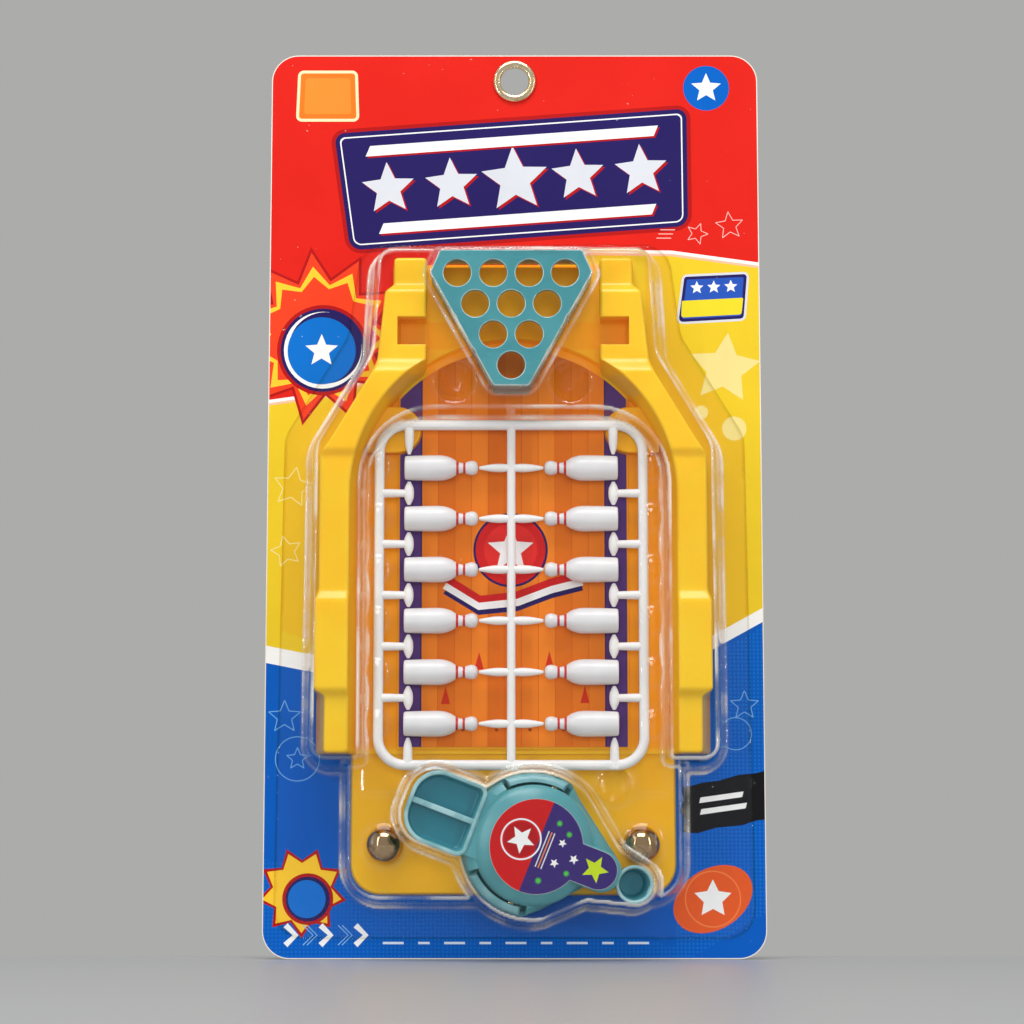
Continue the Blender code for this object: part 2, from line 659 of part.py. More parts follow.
def make_tray(parent):
    """Alley tray: floor, raised lane, gutters, rims with posts, ledge, lobes, foot deck and seats."""
    table = rim_table()
    right = [(foot - TRAY_SLAB_INSET, y, 0) for y, _, foot, _ in table]
    tray = prism("alley_tray", rounded(mirrored(right)), SEAT_GAP, TRAY_GUTTER_LEVEL)
    join(tray, make_rim(1), make_rim(-1))

    lane_half = LANE_SHEET_HALF_WIDTH + LANE_PLATFORM_MARGIN
    lane_angle = math.acos(lane_half / ARCH_RADIUS)
    lane = arc_points(0, ARCH_CENTRE_Y, ARCH_RADIUS, lane_angle, math.pi - lane_angle, ARCH_STEPS)
    lane_end = LANE_SHEET_BOTTOM_Y - LANE_PLATFORM_MARGIN
    lane += [(-lane_half, lane_end), (lane_half, lane_end)]
    join(tray, prism("lane", lane, SEAT_GAP + LEVEL_STEP, TRAY_LANE_LEVEL))

    ledge_half = POST_INNER_HALF_WIDTH + TRAY_SLAB_INSET
    ledge_top = TRAY_TOP_Y - TRAY_SLAB_INSET

    def ledge_outline(radius):
        angle = math.acos(ledge_half / radius)
        curve = arc_points(0, ARCH_CENTRE_Y, radius, math.pi - angle, angle, ARCH_STEPS)
        return curve + [(ledge_half, ledge_top), (-ledge_half, ledge_top)]

    low_edge = ledge_outline(ARCH_RADIUS - TRAY_DRAFT)
    join(tray, prism("ledge", low_edge, SEAT_GAP, TRAY_LEDGE_LEVEL, ledge_outline(ARCH_RADIUS)))

    for side in (1, -1):
        foot_outline = lobe_outline(side, LOBE_RADIUS)
        top_outline = lobe_outline(side, LOBE_RADIUS - LOBE_DRAFT)
        join(tray, prism("lobe", foot_outline, SEAT_GAP, LOBE_LEVEL, top_outline))

    foot_top = TRAY_RIM_END_Y + TRAY_SLAB_INSET
    foot_half = [(FOOT_HALF_WIDTH, foot_top, 0), (FOOT_HALF_WIDTH, FOOT_BOTTOM_Y, FOOT_CORNER_RADIUS)]
    corners = mirrored(foot_half)
    join(tray, prism("foot", rounded(corners, FOOT_DRAFT), SEAT_GAP, TRAY_FOOT_LEVEL, rounded(corners)))

    cut(tray, make_rim_hollow(1), make_rim_hollow(-1))
    for side in (1, -1):
        inside = side * (POST_INNER_HALF_WIDTH - CUT_OVERRUN)
        outside = side * (POST_INNER_HALF_WIDTH + NOTCH_REACH)
        low = (min(inside, outside), NOTCH_TOP_Y - NOTCH_LENGTH, POST_HEIGHT - NOTCH_DEPTH)
        high = (max(inside, outside), NOTCH_TOP_Y, POST_HEIGHT + CUT_OVERRUN)
        cut(tray, box("notch", low, high))
    seats = [(BALL_OUT_X, BALL_Y), (-BALL_OUT_X, BALL_Y), (SPARE_DIMPLE_X, SPARE_DIMPLE_Y)]
    for x, y in seats:
        cut(tray, dimple_cutter(x, y))
    tray.location.x = TRAY_CENTRE_X
    return finish(tray, material("yellow_plastic", YELLOW_PLASTIC, 0.32), parent)


def lobe_outline(side, radius):
    """Round-ended lobe that reaches from a gutter wall in over the lane's edge."""
    wall = ARCH_RADIUS - LOBE_RADIUS + TRAY_GUTTER_DRAFT
    round_end = arc_points(LOBE_CENTRE_X, LOBE_CENTRE_Y, radius, math.pi / 2, 3 * math.pi / 2, LOBE_STEPS)
    outline = round_end + [(wall, LOBE_CENTRE_Y - radius), (wall, LOBE_CENTRE_Y + radius)]
    return [(side * x, y) for x, y in outline]


def make_lane_sheet(parent):
    """Printed sheet on the raised lane, with an arched head and a bite for each lobe."""
    radius = ARCH_RADIUS - LANE_SHEET_ARCH_MARGIN
    angle = math.acos(LANE_SHEET_HALF_WIDTH / radius)
    outline = arc_points(0, ARCH_CENTRE_Y, radius, angle, math.pi - angle, ARCH_STEPS)
    outline += [(-LANE_SHEET_HALF_WIDTH, LANE_SHEET_BOTTOM_Y), (LANE_SHEET_HALF_WIDTH, LANE_SHEET_BOTTOM_Y)]
    low = TRAY_LANE_LEVEL + SEAT_GAP
    sheet = prism("lane_sheet", outline, low, low + LANE_SHEET_THICKNESS)
    for side in (1, -1):
        bite = lobe_outline(side, LOBE_RADIUS + SEAT_GAP)
        cut(sheet, prism("bite", bite, low - CUT_OVERRUN, low + CUT_OVERRUN))
    sheet.location.x = TRAY_CENTRE_X
    return finish(sheet, material("lane_print", LANE_ORANGE, 0.30), parent)


def pin_height():
    """Height of the pins' axes over the card: they lie on the lane sheet."""
    return TRAY_LANE_LEVEL + SEAT_GAP + LANE_SHEET_THICKNESS + SEAT_GAP + PIN_BODY_RADIUS


def pin_rows():
    """Places of the pin rows, from top to bottom."""
    return [PIN_FIRST_Y - PIN_PITCH * row for row in range(PIN_ROWS)]


def pin_mesh():
    """Turned bowling pin along +x, from its base to the tip of its head."""
    neck_start = PIN_BODY_LENGTH + PIN_SHOULDER_LENGTH
    neck_end = neck_start + PIN_NECK_LENGTH
    head_centre = PIN_LENGTH - PIN_HEAD_RADIUS
    shoulder_radius = (PIN_BODY_RADIUS + PIN_NECK_RADIUS) / 2
    profile = [(0, 0), (PIN_BASE_RADIUS - PIN_BASE_ROUND, 0), (PIN_BASE_RADIUS, PIN_BASE_ROUND)]
    profile += [(PIN_BODY_RADIUS, PIN_BODY_LENGTH - PIN_SHOULDER_LENGTH * PIN_BULGE_SHARE)]
    profile += [(PIN_BODY_RADIUS - PIN_BASE_ROUND / 2, PIN_BODY_LENGTH)]
    profile += [(shoulder_radius, PIN_BODY_LENGTH + PIN_SHOULDER_LENGTH / 2)]
    profile += [(PIN_NECK_RADIUS, neck_start), (PIN_NECK_RADIUS, neck_end)]
    head = arc_points(0, 0, PIN_HEAD_RADIUS, PIN_HEAD_START, math.pi / 2, CORNER_STEPS)
    profile += [(radius, head_centre + along) for radius, along in head[:-1]]
    profile += [(0, PIN_LENGTH)]
    pin = turned("pin", profile, PIN_STEPS, axis="x")
    mesh = pin.data
    bpy.data.objects.remove(pin)
    return mesh


def make_pins(parent):
    """Twelve loose pins in two columns, heads to the middle, numbered by rows."""
    mesh = pin_mesh()
    white = material("white_plastic", WHITE_PLASTIC, 0.35)
    pins = []
    for row, y in enumerate(pin_rows()):
        for column, side in enumerate((-1, 1)):
            number = 2 * row + column + 1
            pin = bpy.data.objects.new(f"pin_{number:02d}", mesh)
            bpy.context.scene.collection.objects.link(pin)
            pin.location = (SPRUE_CENTRE_X + side * PIN_BASE_OUT, y, pin_height())
            pin.rotation_euler.z = 0 if side < 0 else math.pi
            pins.append(finish(pin, white, parent, TURNED_PIECE_ANGLE))
    return pins


def sprue_loop():
    """Round-cornered loop of the sprue, as one closed tube."""
    right = SPRUE_HALF_WIDTH
    radius = SPRUE_CORNER_RADIUS
    corners = mirrored([(right, SPRUE_TOP_Y, radius), (right, SPRUE_BOTTOM_Y, radius)])
    centres = [Vector(point) for point in rounded(corners, steps=SPRUE_CORNER_STEPS)]
    mesh = bmesh.new()
    rings = []
    for index, centre in enumerate(centres):
        before = (centre - centres[index - 1]).normalized()
        after = (centres[(index + 1) % len(centres)] - centre).normalized()
        along = (before + after).normalized()
        across = Vector((along.y, -along.x))
        spread = 1 / across.dot(Vector((after.y, -after.x)))
        ring = []
        for step in range(RUNNER_SIDES):
            angle = 2 * math.pi * step / RUNNER_SIDES
            place = centre + across * (RUNNER_RADIUS * spread * math.cos(angle))
            ring.append(mesh.verts.new((place.x, place.y, RUNNER_RADIUS * math.sin(angle))))
        rings.append(ring)
    for lower, upper in zip(rings, rings[1:] + rings[:1]):
        for step in range(RUNNER_SIDES):
            after = (step + 1) % RUNNER_SIDES
            mesh.faces.new((lower[step], lower[after], upper[after], upper[step]))
    return new_object("sprue", mesh)


def make_sprue(parent):
    """Sprue frame: loop, spine, a runner to each pin's head and gates at the pins' bases."""
    sprue = sprue_loop()
    join(sprue, rod("spine", (0, SPRUE_TOP_Y, 0), (0, SPRUE_BOTTOM_Y, 0), BRANCH_RADIUS, BRANCH_RADIUS))
    head_end = PIN_BASE_OUT - PIN_LENGTH - SEAT_GAP
    rows = pin_rows()
    for y in rows:
        for side in (-1, 1):
            radii = RUNNER_ROOT_RADIUS, GATE_RADIUS, RUNNER_MIDDLE_RADIUS
            join(sprue, rod("runner", (0, y, 0), (side * head_end, y, 0), *radii))
    reach = PIN_BODY_RADIUS + SEAT_GAP
    for upper, lower in zip(rows, rows[1:]):
        middle = (upper + lower) / 2
        for side in (-1, 1):
            gate_x = side * GATE_OUT
            ends = (gate_x, upper - reach, 0), (gate_x, lower + reach, 0)
            join(sprue, rod("spindle", *ends, GATE_RADIUS, GATE_RADIUS, SPINDLE_RADIUS))
            stub = (side * SPRUE_HALF_WIDTH, middle, 0), (gate_x, middle, 0)
            join(sprue, rod("stub", *stub, BRANCH_RADIUS, STUB_END_RADIUS))
    for side in (-1, 1):
        gate_x = side * GATE_OUT
        top = (gate_x, SPRUE_TOP_Y, 0), (gate_x, rows[0] + reach, 0)
        bottom = (gate_x, SPRUE_BOTTOM_Y, 0), (gate_x, rows[-1] - reach, 0)
        for ends in (top, bottom):
            join(sprue, rod("end_gate", *ends, BRANCH_RADIUS, GATE_RADIUS, END_SPINDLE_RADIUS))
    sprue.location = (SPRUE_CENTRE_X, 0, pin_height())
    return finish(sprue, material("sprue_plastic", WHITE_PLASTIC, 0.38), parent)


def rack_corners():
    """Corners of the rack plate, with the small notches down its long sides."""
    slope = (RACK_CORNER_HALF_WIDTH - RACK_TIP_HALF_WIDTH) / (RACK_CORNER_Y - RACK_TIP_Y)
    half = [(RACK_TOP_HALF_WIDTH, RACK_TOP_Y, 0), (RACK_CORNER_HALF_WIDTH, RACK_CORNER_Y, 0)]
    for y in (RACK_NOTCH_ONE_Y, RACK_NOTCH_TWO_Y):
        edge = RACK_CORNER_HALF_WIDTH - slope * (RACK_CORNER_Y - y)
        half += [(edge, y, 0), (edge - RACK_NOTCH_DEPTH, y - RACK_NOTCH_DEPTH, 0)]
        half += [(edge - RACK_NOTCH_END_DEPTH, y - RACK_NOTCH_LENGTH, 0)]
    half += [(RACK_TIP_HALF_WIDTH, RACK_TIP_Y, 0)]
    return mirrored(half)


def rack_hole_places():
    """Centres of the ten pin holes: four, three, two and one."""
    row_step = RACK_HOLE_PITCH * math.sqrt(3) / 2
    places = []
    for row in range(RACK_ROWS):
        count = RACK_ROWS - row
        for index in range(count):
            x = (index - (count - 1) / 2) * RACK_HOLE_PITCH
            places.append((x, RACK_FIRST_ROW_Y - row * row_step))
    return places


def make_rack(parent):
    """Rack: a drilled plate on a deep skirt that stands on the tray's ledge."""
    corners = rack_corners()
    low = TRAY_LEDGE_LEVEL + SEAT_GAP
    rack = prism("pin_rack", rounded(corners), low, RACK_TOP_LEVEL)
    inside = rounded(corners, -RACK_SKIRT_WALL)
    cut(rack, prism("inside", inside, low - CUT_OVERRUN, RACK_TOP_LEVEL - RACK_PLATE_THICKNESS))
    for x, y in rack_hole_places():
        circle = circle_points(x, y, RACK_HOLE_RADIUS, RACK_HOLE_STEPS)
        hole_low = RACK_TOP_LEVEL - RACK_PLATE_THICKNESS - CUT_OVERRUN
        cut(rack, prism("hole", circle, hole_low, RACK_TOP_LEVEL + CUT_OVERRUN))
    rack.location.x = RACK_CENTRE_X
    return finish(rack, material("teal_plastic", TEAL_PLASTIC, 0.34), parent)


def make_balls(parent):
    """Two steel balls in their seats."""
    steel = material("steel", BALL_STEEL, 0.12, metallic=1.0)
    height = TRAY_FOOT_LEVEL - DIMPLE_DEPTH + SEAT_GAP + BALL_RADIUS
    angles = [math.pi * ring / BALL_RINGS for ring in range(BALL_RINGS + 1)]
    profile = [(BALL_RADIUS * math.sin(a), -BALL_RADIUS * math.cos(a)) for a in angles]
    profile[0] = (0, -BALL_RADIUS)
    profile[-1] = (0, BALL_RADIUS)
    balls = []
    for name, side in (("ball_left", -1), ("ball_right", 1)):
        ball = turned(name, profile, BALL_STEPS)
        ball.location = (TRAY_CENTRE_X + side * BALL_OUT_X, BALL_Y, height)
        balls.append(finish(ball, steel, parent, BALL_ANGLE))
    return balls


def cheek(side):
    """Raised cheek of the launcher base, a sector of its round wall that carries one axle end."""
    start = side * BASE_CHEEK_START
    end = side * BASE_CHEEK_END
    steps = ARC_STEPS
    outermost = BASE_RADIUS - BASE_CHEEK_INSET

    def ring(outer_radius):
        outer = arc_points(0, 0, outer_radius, start, end, steps)
        inner = arc_points(0, 0, BASE_CHEEK_INNER_RADIUS, end, start, steps)
        return outer + inner

    full = ring(outermost)
    drawn_in = ring(outermost - BASE_CHEEK_BEVEL)
    top = ring(outermost - BASE_CHEEK_ROUND)
    shoulder = BASE_CHEEK_LEVEL - BASE_CHEEK_ROUND
    crown = BASE_CHEEK_LEVEL - BASE_CHEEK_BEVEL
    levels = [(full, BASE_FLOOR_THICKNESS / 2), (full, shoulder), (drawn_in, crown)]
    levels.append((top, BASE_CHEEK_LEVEL))
    return loft("cheek", [[(x, y, h) for x, y in outline] for outline, h in levels])


def grown_point(x, y, growth):
    """Point moved away from the middle."""
    point = Vector((x, y))
    return tuple(point + point.normalized() * growth)


def base_outline(radius):
    """Plan of the launcher base: round towards the paddle, drawn in on a slant under the arm's neck."""
    end = 2 * math.pi - BASE_SHOULDER_ANGLE
    outline = arc_points(0, 0, radius, BASE_SHOULDER_ANGLE, end, BASE_STEPS // 2)
    neck = [
        (BASE_NECK_ROOT_U, -BASE_NECK_ROOT_V),
        (BASE_LOWER_END_U, -BASE_LOWER_END_V),
        (BASE_UPPER_END_U, BASE_UPPER_END_V),
        (BASE_NECK_ROOT_U, BASE_NECK_ROOT_V),
    ]
    return outline + [grown_point(x, y, radius - BASE_RADIUS) for x, y in neck]


def plain_rod(radius, reach):
    """Profile of a straight rod, as long on each side of its middle."""
    return [(0, -reach), (radius, -reach), (radius, reach), (0, reach)]


def make_launcher_base(parent):
    """Launcher base: floor, low wall round it, and two cheeks with the axle's holes."""
    base = prism("launcher_base", base_outline(BASE_RADIUS), 0, BASE_SKIRT_LEVEL)
    inside = base_outline(BASE_RADIUS - BASE_SKIRT_WALL)
    cut(base, prism("inside", inside, BASE_FLOOR_THICKNESS, BASE_SKIRT_LEVEL + CUT_OVERRUN))
    join(base, cheek(1), cheek(-1))
    hole_radius = AXLE_RADIUS + AXLE_CLEARANCE
    reach = BASE_RADIUS + CUT_OVERRUN
    hole = turned("axle_hole", plain_rod(hole_radius, reach), AXLE_STEPS, axis="y")
    hole.data.transform(Matrix.Translation((0, 0, AXLE_HEIGHT)))
    cut(base, hole)
    return finish(base, bpy.data.materials["teal_plastic"], parent)


def paddle_corners():
    """Corners of the thumb paddle, rounder at its far end."""
    return [
        (-PADDLE_FAR_END, PADDLE_HALF_WIDTH, PADDLE_FAR_RADIUS),
        (-PADDLE_FAR_END, -PADDLE_HALF_WIDTH, PADDLE_FAR_RADIUS),
        (-PADDLE_NEAR_END, -PADDLE_HALF_WIDTH, PADDLE_NEAR_RADIUS),
        (-PADDLE_NEAR_END, PADDLE_HALF_WIDTH, PADDLE_NEAR_RADIUS),
    ]


def keyhole(radius, end, end_radius):
    """Outline of a disc with a tapering tongue towards the cup."""
    blend = math.asin((radius - end_radius) / end)
    angle = math.pi / 2 - blend
    disc = arc_points(0, 0, radius, angle, 2 * math.pi - angle, BASE_STEPS // 2)
    return disc + arc_points(end, 0, end_radius, -angle, angle, ARC_STEPS)


def tongue_disc(radius, end, half_width):
    """Outline of a disc with a straight tongue of rounded end."""
    angle = math.asin(half_width / radius)
    disc = arc_points(0, 0, radius, angle, 2 * math.pi - angle, BASE_STEPS)
    return disc + arc_points(end, 0, half_width, -math.pi / 2, math.pi / 2, ARC_STEPS)


def apron_outline(growth):
    """Plan of the arm's apron, which hides the base's wall and leaves out the two cheeks."""
    radius = BASE_RADIUS - APRON_STEP_IN + growth
    inner = HUB_TOP_RADIUS - HUB_EDGE_ROUND
    turn = 2 * math.pi
    outline = arc_points(0, 0, radius, APRON_PADDLE_ANGLE, turn - APRON_PADDLE_ANGLE, ARC_STEPS)
    outline += arc_points(0, 0, inner, turn - APRON_PADDLE_ANGLE, turn - APRON_CUP_ANGLE, ARC_STEPS)
    step_in = growth - APRON_STEP_IN
    shoulder_u = radius * math.cos(APRON_CUP_ANGLE)
    shoulder_v = radius * math.sin(APRON_CUP_ANGLE)
    outline += [(shoulder_u, -shoulder_v), grown_point(BASE_NECK_ROOT_U, -BASE_NECK_ROOT_V, step_in)]
    outline.append(grown_point(BASE_LOWER_END_U, -BASE_LOWER_END_V, step_in))
    outline.append(grown_point(BASE_UPPER_END_U, BASE_UPPER_END_V, step_in))
    outline += [grown_point(BASE_NECK_ROOT_U, BASE_NECK_ROOT_V, step_in), (shoulder_u, shoulder_v)]
    return outline + arc_points(0, 0, inner, APRON_CUP_ANGLE, APRON_PADDLE_ANGLE, ARC_STEPS)


def make_launcher_arm(parent):
    """Rocking arm: thumb paddle, round hub on the axle, neck and ball cup. Its heights count from the
    axle's centre."""
    hub_levels = [(HUB_BOTTOM_RADIUS, HUB_BOTTOM_LEVEL), (HUB_BOTTOM_RADIUS, HUB_SHOULDER_LEVEL)]
    hub_levels += [(HUB_TOP_RADIUS, HUB_TOP_LEVEL - HUB_EDGE_ROUND)]
    hub_levels += [(HUB_TOP_RADIUS - HUB_EDGE_ROUND / 2, HUB_TOP_LEVEL)]
    profile = [(0, HUB_BOTTOM_LEVEL)] + hub_levels + [(0, HUB_TOP_LEVEL)]
    arm = turned("launcher_arm", profile, HUB_STEPS)

    levels = [(0, APRON_LOW_LEVEL), (0, APRON_SHOULDER_LEVEL), (-APRON_SLANT, APRON_TOP_LEVEL)]
    join(arm, loft("apron", [[(x, y, level) for x, y in apron_outline(growth)] for growth, level in levels]))
    neck = tongue_disc(HUB_TOP_RADIUS - HUB_EDGE_ROUND, NECK_END, NECK_HALF_WIDTH)
    join(arm, prism("neck", neck, NECK_TOP_LEVEL - NECK_THICKNESS, NECK_TOP_LEVEL))
    cup_low = CUP_TOP_LEVEL - CUP_HEIGHT
    cup_profile = [(0, cup_low), (CUP_FOOT_RADIUS, cup_low)]
    cup_profile += [(CUP_RADIUS, CUP_TOP_LEVEL), (0, CUP_TOP_LEVEL)]
    cup = turned("cup", cup_profile, CUP_STEPS)
    cup.data.transform(Matrix.Translation((CUP_OUT, 0, 0)))
    join(arm, cup)

    paddle_low = PADDLE_TOP_LEVEL - PADDLE_HEIGHT
    corners = paddle_corners()
    paddle_foot = rounded(corners, -PADDLE_DRAFT)
    join(arm, prism("paddle", paddle_foot, paddle_low, PADDLE_TOP_LEVEL, rounded(corners)))
    bridge_low = (-PADDLE_NEAR_END - PADDLE_RIM, -PADDLE_HALF_WIDTH + PADDLE_RIM, paddle_low + PADDLE_DRAFT)
    bridge_high = (-HUB_TOP_RADIUS / 2, PADDLE_HALF_WIDTH - PADDLE_RIM, PADDLE_TOP_LEVEL - PADDLE_DRAFT)
    join(arm, box("bridge", bridge_low, bridge_high))

    floor = paddle_low + PADDLE_FLOOR_THICKNESS
    recess_foot = rounded(corners, -PADDLE_RIM - PADDLE_DRAFT)
    recess_top = rounded(corners, -PADDLE_RIM)
    recess = prism("recess", recess_foot, floor, PADDLE_TOP_LEVEL + CUT_OVERRUN, recess_top)
    rib_low = (-PADDLE_FAR_END, -PADDLE_RIB_HALF_WIDTH, floor - CUT_OVERRUN)
    rib_high = (-PADDLE_NEAR_END, PADDLE_RIB_HALF_WIDTH, PADDLE_TOP_LEVEL - PADDLE_RIB_DROP)
    cut(recess, box("rib", rib_low, rib_high))
    cut(arm, recess)

    cup_floor = cup_low + CUP_FLOOR_THICKNESS
    above = CUP_TOP_LEVEL + CUT_OVERRUN
    bowl_profile = [(0, cup_floor), (CUP_FLOOR_RADIUS, cup_floor), (CUP_MOUTH_RADIUS, CUP_TOP_LEVEL)]
    bowl = turned("bowl", bowl_profile + [(CUP_MOUTH_RADIUS, above), (0, above)], CUP_STEPS)
    bowl.data.transform(Matrix.Translation((CUP_OUT, 0, 0)))
    cut(arm, bowl)

    reach = HUB_BOTTOM_RADIUS + CUT_OVERRUN
    hole_radius = AXLE_RADIUS + AXLE_CLEARANCE
    cut(arm, turned("axle_hole", plain_rod(hole_radius, reach), AXLE_STEPS, axis="y"))
    return finish(arm, bpy.data.materials["teal_plastic"], parent)


def make_axle(parent):
    """Steel pin that the arm rocks on, held in the base's cheeks."""
    outermost = BASE_RADIUS - BASE_CHEEK_INSET - BASE_CHEEK_BEVEL
    reach = math.sqrt(outermost**2 - AXLE_RADIUS**2)
    axle = turned("launcher_axle", plain_rod(AXLE_RADIUS, reach), AXLE_STEPS, axis="y")
    axle.location.z = AXLE_HEIGHT
    return finish(axle, bpy.data.materials["steel"], parent)


def make_sticker(parent):
    """Printed sticker on the arm's hub and neck."""
    low = HUB_TOP_LEVEL + SEAT_GAP
    outline = tongue_disc(STICKER_RADIUS, STICKER_END, STICKER_TONGUE_HALF_WIDTH)
    sticker = prism("launcher_sticker", outline, low, low + STICKER_THICKNESS)
    return finish(sticker, material("sticker_print", STICKER_PURPLE, 0.28), parent)


def blister_body(inset):
    """Outer form of the blister, or its inside when inset by the wall."""
    tray_half = [
        (BLISTER_TOP_HALF_WIDTH, BLISTER_TOP_Y, BLISTER_CORNER_RADIUS),
        (BLISTER_WAIST_HALF_WIDTH, BLISTER_WAIST_Y, BLISTER_SHOULDER_RADIUS),
        (BLISTER_SHOULDER_HALF_WIDTH, BLISTER_SHOULDER_Y, BLISTER_SHOULDER_RADIUS),
        (BLISTER_SIDE_HALF_WIDTH, BLISTER_SIDE_END_Y, BLISTER_CORNER_RADIUS),
    ]
    low = -CUT_OVERRUN if inset else SEAT_GAP
    corners = mirrored(tray_half)
    foot = rounded(corners, BLISTER_DRAFT - inset)
    body = prism("blister", foot, low, BLISTER_TRAY_LEVEL - inset, rounded(corners, -inset))

    dip_half = [(BLISTER_DIP_HALF_WIDTH, BLISTER_DIP_TOP_Y, BLISTER_DIP_RADIUS)]
    dip_half += [(BLISTER_DIP_HALF_WIDTH, BLISTER_SIDE_END_Y - BLISTER_OVERLAP, 0)]
    dip = mirrored(dip_half)
    dip_level = BLISTER_TROUGH_LEVEL - inset
    above = BLISTER_TRAY_LEVEL + CUT_OVERRUN
    cut(body, prism("dip", rounded(dip, inset - BLISTER_DIP_DRAFT), dip_level, above, rounded(dip, inset)))

    foot_half = [(BLISTER_FOOT_HALF_WIDTH, BLISTER_SIDE_END_Y + BLISTER_OVERLAP, 0)]
    foot_half += [(BLISTER_FOOT_HALF_WIDTH, BLISTER_FOOT_BOTTOM_Y, BLISTER_FOOT_CORNER_RADIUS)]
    corners = mirrored(foot_half)
    foot = rounded(corners, BLISTER_FOOT_DRAFT - inset)
    join(body, prism("foot", foot, low, BLISTER_FOOT_LEVEL - inset, rounded(corners, -inset)))

    rack = mirrored([
        (RACK_TOP_HALF_WIDTH, RACK_TOP_Y, BLISTER_RACK_RADIUS),
        (RACK_CORNER_HALF_WIDTH, RACK_CORNER_Y, BLISTER_RACK_RADIUS),
        (RACK_TIP_HALF_WIDTH, RACK_TIP_Y, BLISTER_RACK_RADIUS),
    ])
    growth = BLISTER_RACK_GROWTH - inset
    outline = [(x + RACK_CENTRE_X, y) for x, y in rounded(rack, growth)]
    wider = [(x + RACK_CENTRE_X, y) for x, y in rounded(rack, growth + BLISTER_DRAFT)]
    join(body, prism("rack_cover", wider, low + LEVEL_STEP, BLISTER_RACK_LEVEL - inset, outline))

    for side in (-1, 1):
        join(body, ball_dome(TRAY_CENTRE_X + side * BALL_OUT_X, inset))
        join(body, *[row_bump(side * BLISTER_BUMP_OUT, y, inset) for y in pin_rows()])

    level = BLISTER_LAUNCHER_LEVEL - inset
    pocket = launcher_pocket(BLISTER_POCKET_GROWTH - inset, low + 2 * LEVEL_STEP, level)
    return join(body, *pocket)


def ball_dome(x, inset):
    """Low dome of the blister over a ball."""
    level = BLISTER_FOOT_LEVEL - inset
    radius = BLISTER_DOME_RADIUS - inset
    profile = [(0, level - BLISTER_DOME_RISE), (radius, level - BLISTER_DOME_RISE)]
    for step in range(BLISTER_DOME_STEPS):
        angle = math.pi / 2 * step / BLISTER_DOME_STEPS
        profile.append((radius * math.cos(angle), level + BLISTER_DOME_RISE * math.sin(angle)))
    dome = turned("dome", profile + [(0, level + BLISTER_DOME_RISE)], CUP_STEPS)
    dome.data.transform(Matrix.Translation((x, BALL_Y, 0)))
    return dome


def row_bump(x, y, inset):
    """Small bump of the blister's trough beside a row of pins."""
    half, length = BLISTER_BUMP_HALF_WIDTH, BLISTER_BUMP_HALF_LENGTH
    left, right = x - half, x + half
    corners = [(left, y + length), (left, y - length), (right, y - length), (right, y + length)]
    corners = [(corner_x, corner_y, BLISTER_BUMP_RADIUS) for corner_x, corner_y in corners]
    level = BLISTER_TROUGH_LEVEL - inset
    top = rounded(corners, -inset - BLISTER_BUMP_DRAFT)
    return prism("bump", rounded(corners, -inset), level - BLISTER_BUMP_RISE, level + BLISTER_BUMP_RISE, top)


def launcher_pocket(growth, low, level):
    """Solids whose union covers the launcher, drawn in its own plan and turned onto the card."""
    wide = growth + BLISTER_POCKET_DRAFT
    paddle = paddle_corners()
    parts = [prism("paddle_cover", rounded(paddle, wide), low, level, rounded(paddle, growth))]
    hub = keyhole(BASE_RADIUS + growth, CUP_OUT, CUP_RADIUS + growth)
    hub_foot = keyhole(BASE_RADIUS + wide, CUP_OUT, CUP_RADIUS + wide)
    parts.append(prism("hub_cover", hub_foot, low + LEVEL_STEP, level + LEVEL_STEP, hub))
    for part in parts:
        turn = Matrix.Rotation(-LAUNCHER_TURN, 4, "Z")
        part.data.transform(Matrix.Translation((LAUNCHER_X, LAUNCHER_Y, 0)) @ turn)
    return parts


def make_blister(parent):
    """Clear formed shell that covers the game, open behind, with a flange on the card."""
    top = BLISTER_TOP_HALF_WIDTH + BLISTER_FLANGE_TOP_WIDTH
    waist = BLISTER_WAIST_HALF_WIDTH + BLISTER_FLANGE_WAIST_WIDTH
    shoulder = BLISTER_SHOULDER_HALF_WIDTH + BLISTER_FLANGE_SHOULDER_WIDTH
    side = BLISTER_SIDE_HALF_WIDTH + BLISTER_FLANGE_SIDE_WIDTH
    flange = rounded(mirrored([
        (top, BLISTER_FLANGE_TOP_Y, BLISTER_FLANGE_RADIUS),
        (waist, BLISTER_FLANGE_WAIST_Y, BLISTER_SHOULDER_RADIUS),
        (shoulder, BLISTER_FLANGE_SHOULDER_Y, BLISTER_SHOULDER_RADIUS),
        (side, BLISTER_FOOT_BOTTOM_Y - BLISTER_FLANGE_FOOT_WIDTH, BLISTER_FLANGE_RADIUS),
    ]))
    shell = prism("blister", flange, SEAT_GAP, SEAT_GAP + BLISTER_WALL)
    join(shell, blister_body(0))
    cut(shell, blister_body(BLISTER_WALL))
    return finish(shell, material("clear_plastic", CLEAR_PLASTIC, 0.05, transmission=1.0), parent)


def empty(name, location, rotation, parent=None):
    """Guide that carries pieces and holds no shape."""
    made = bpy.data.objects.new(name, None)
    bpy.context.scene.collection.objects.link(made)
    made.location = location
    made.rotation_euler = rotation
    made.parent = parent
    return made


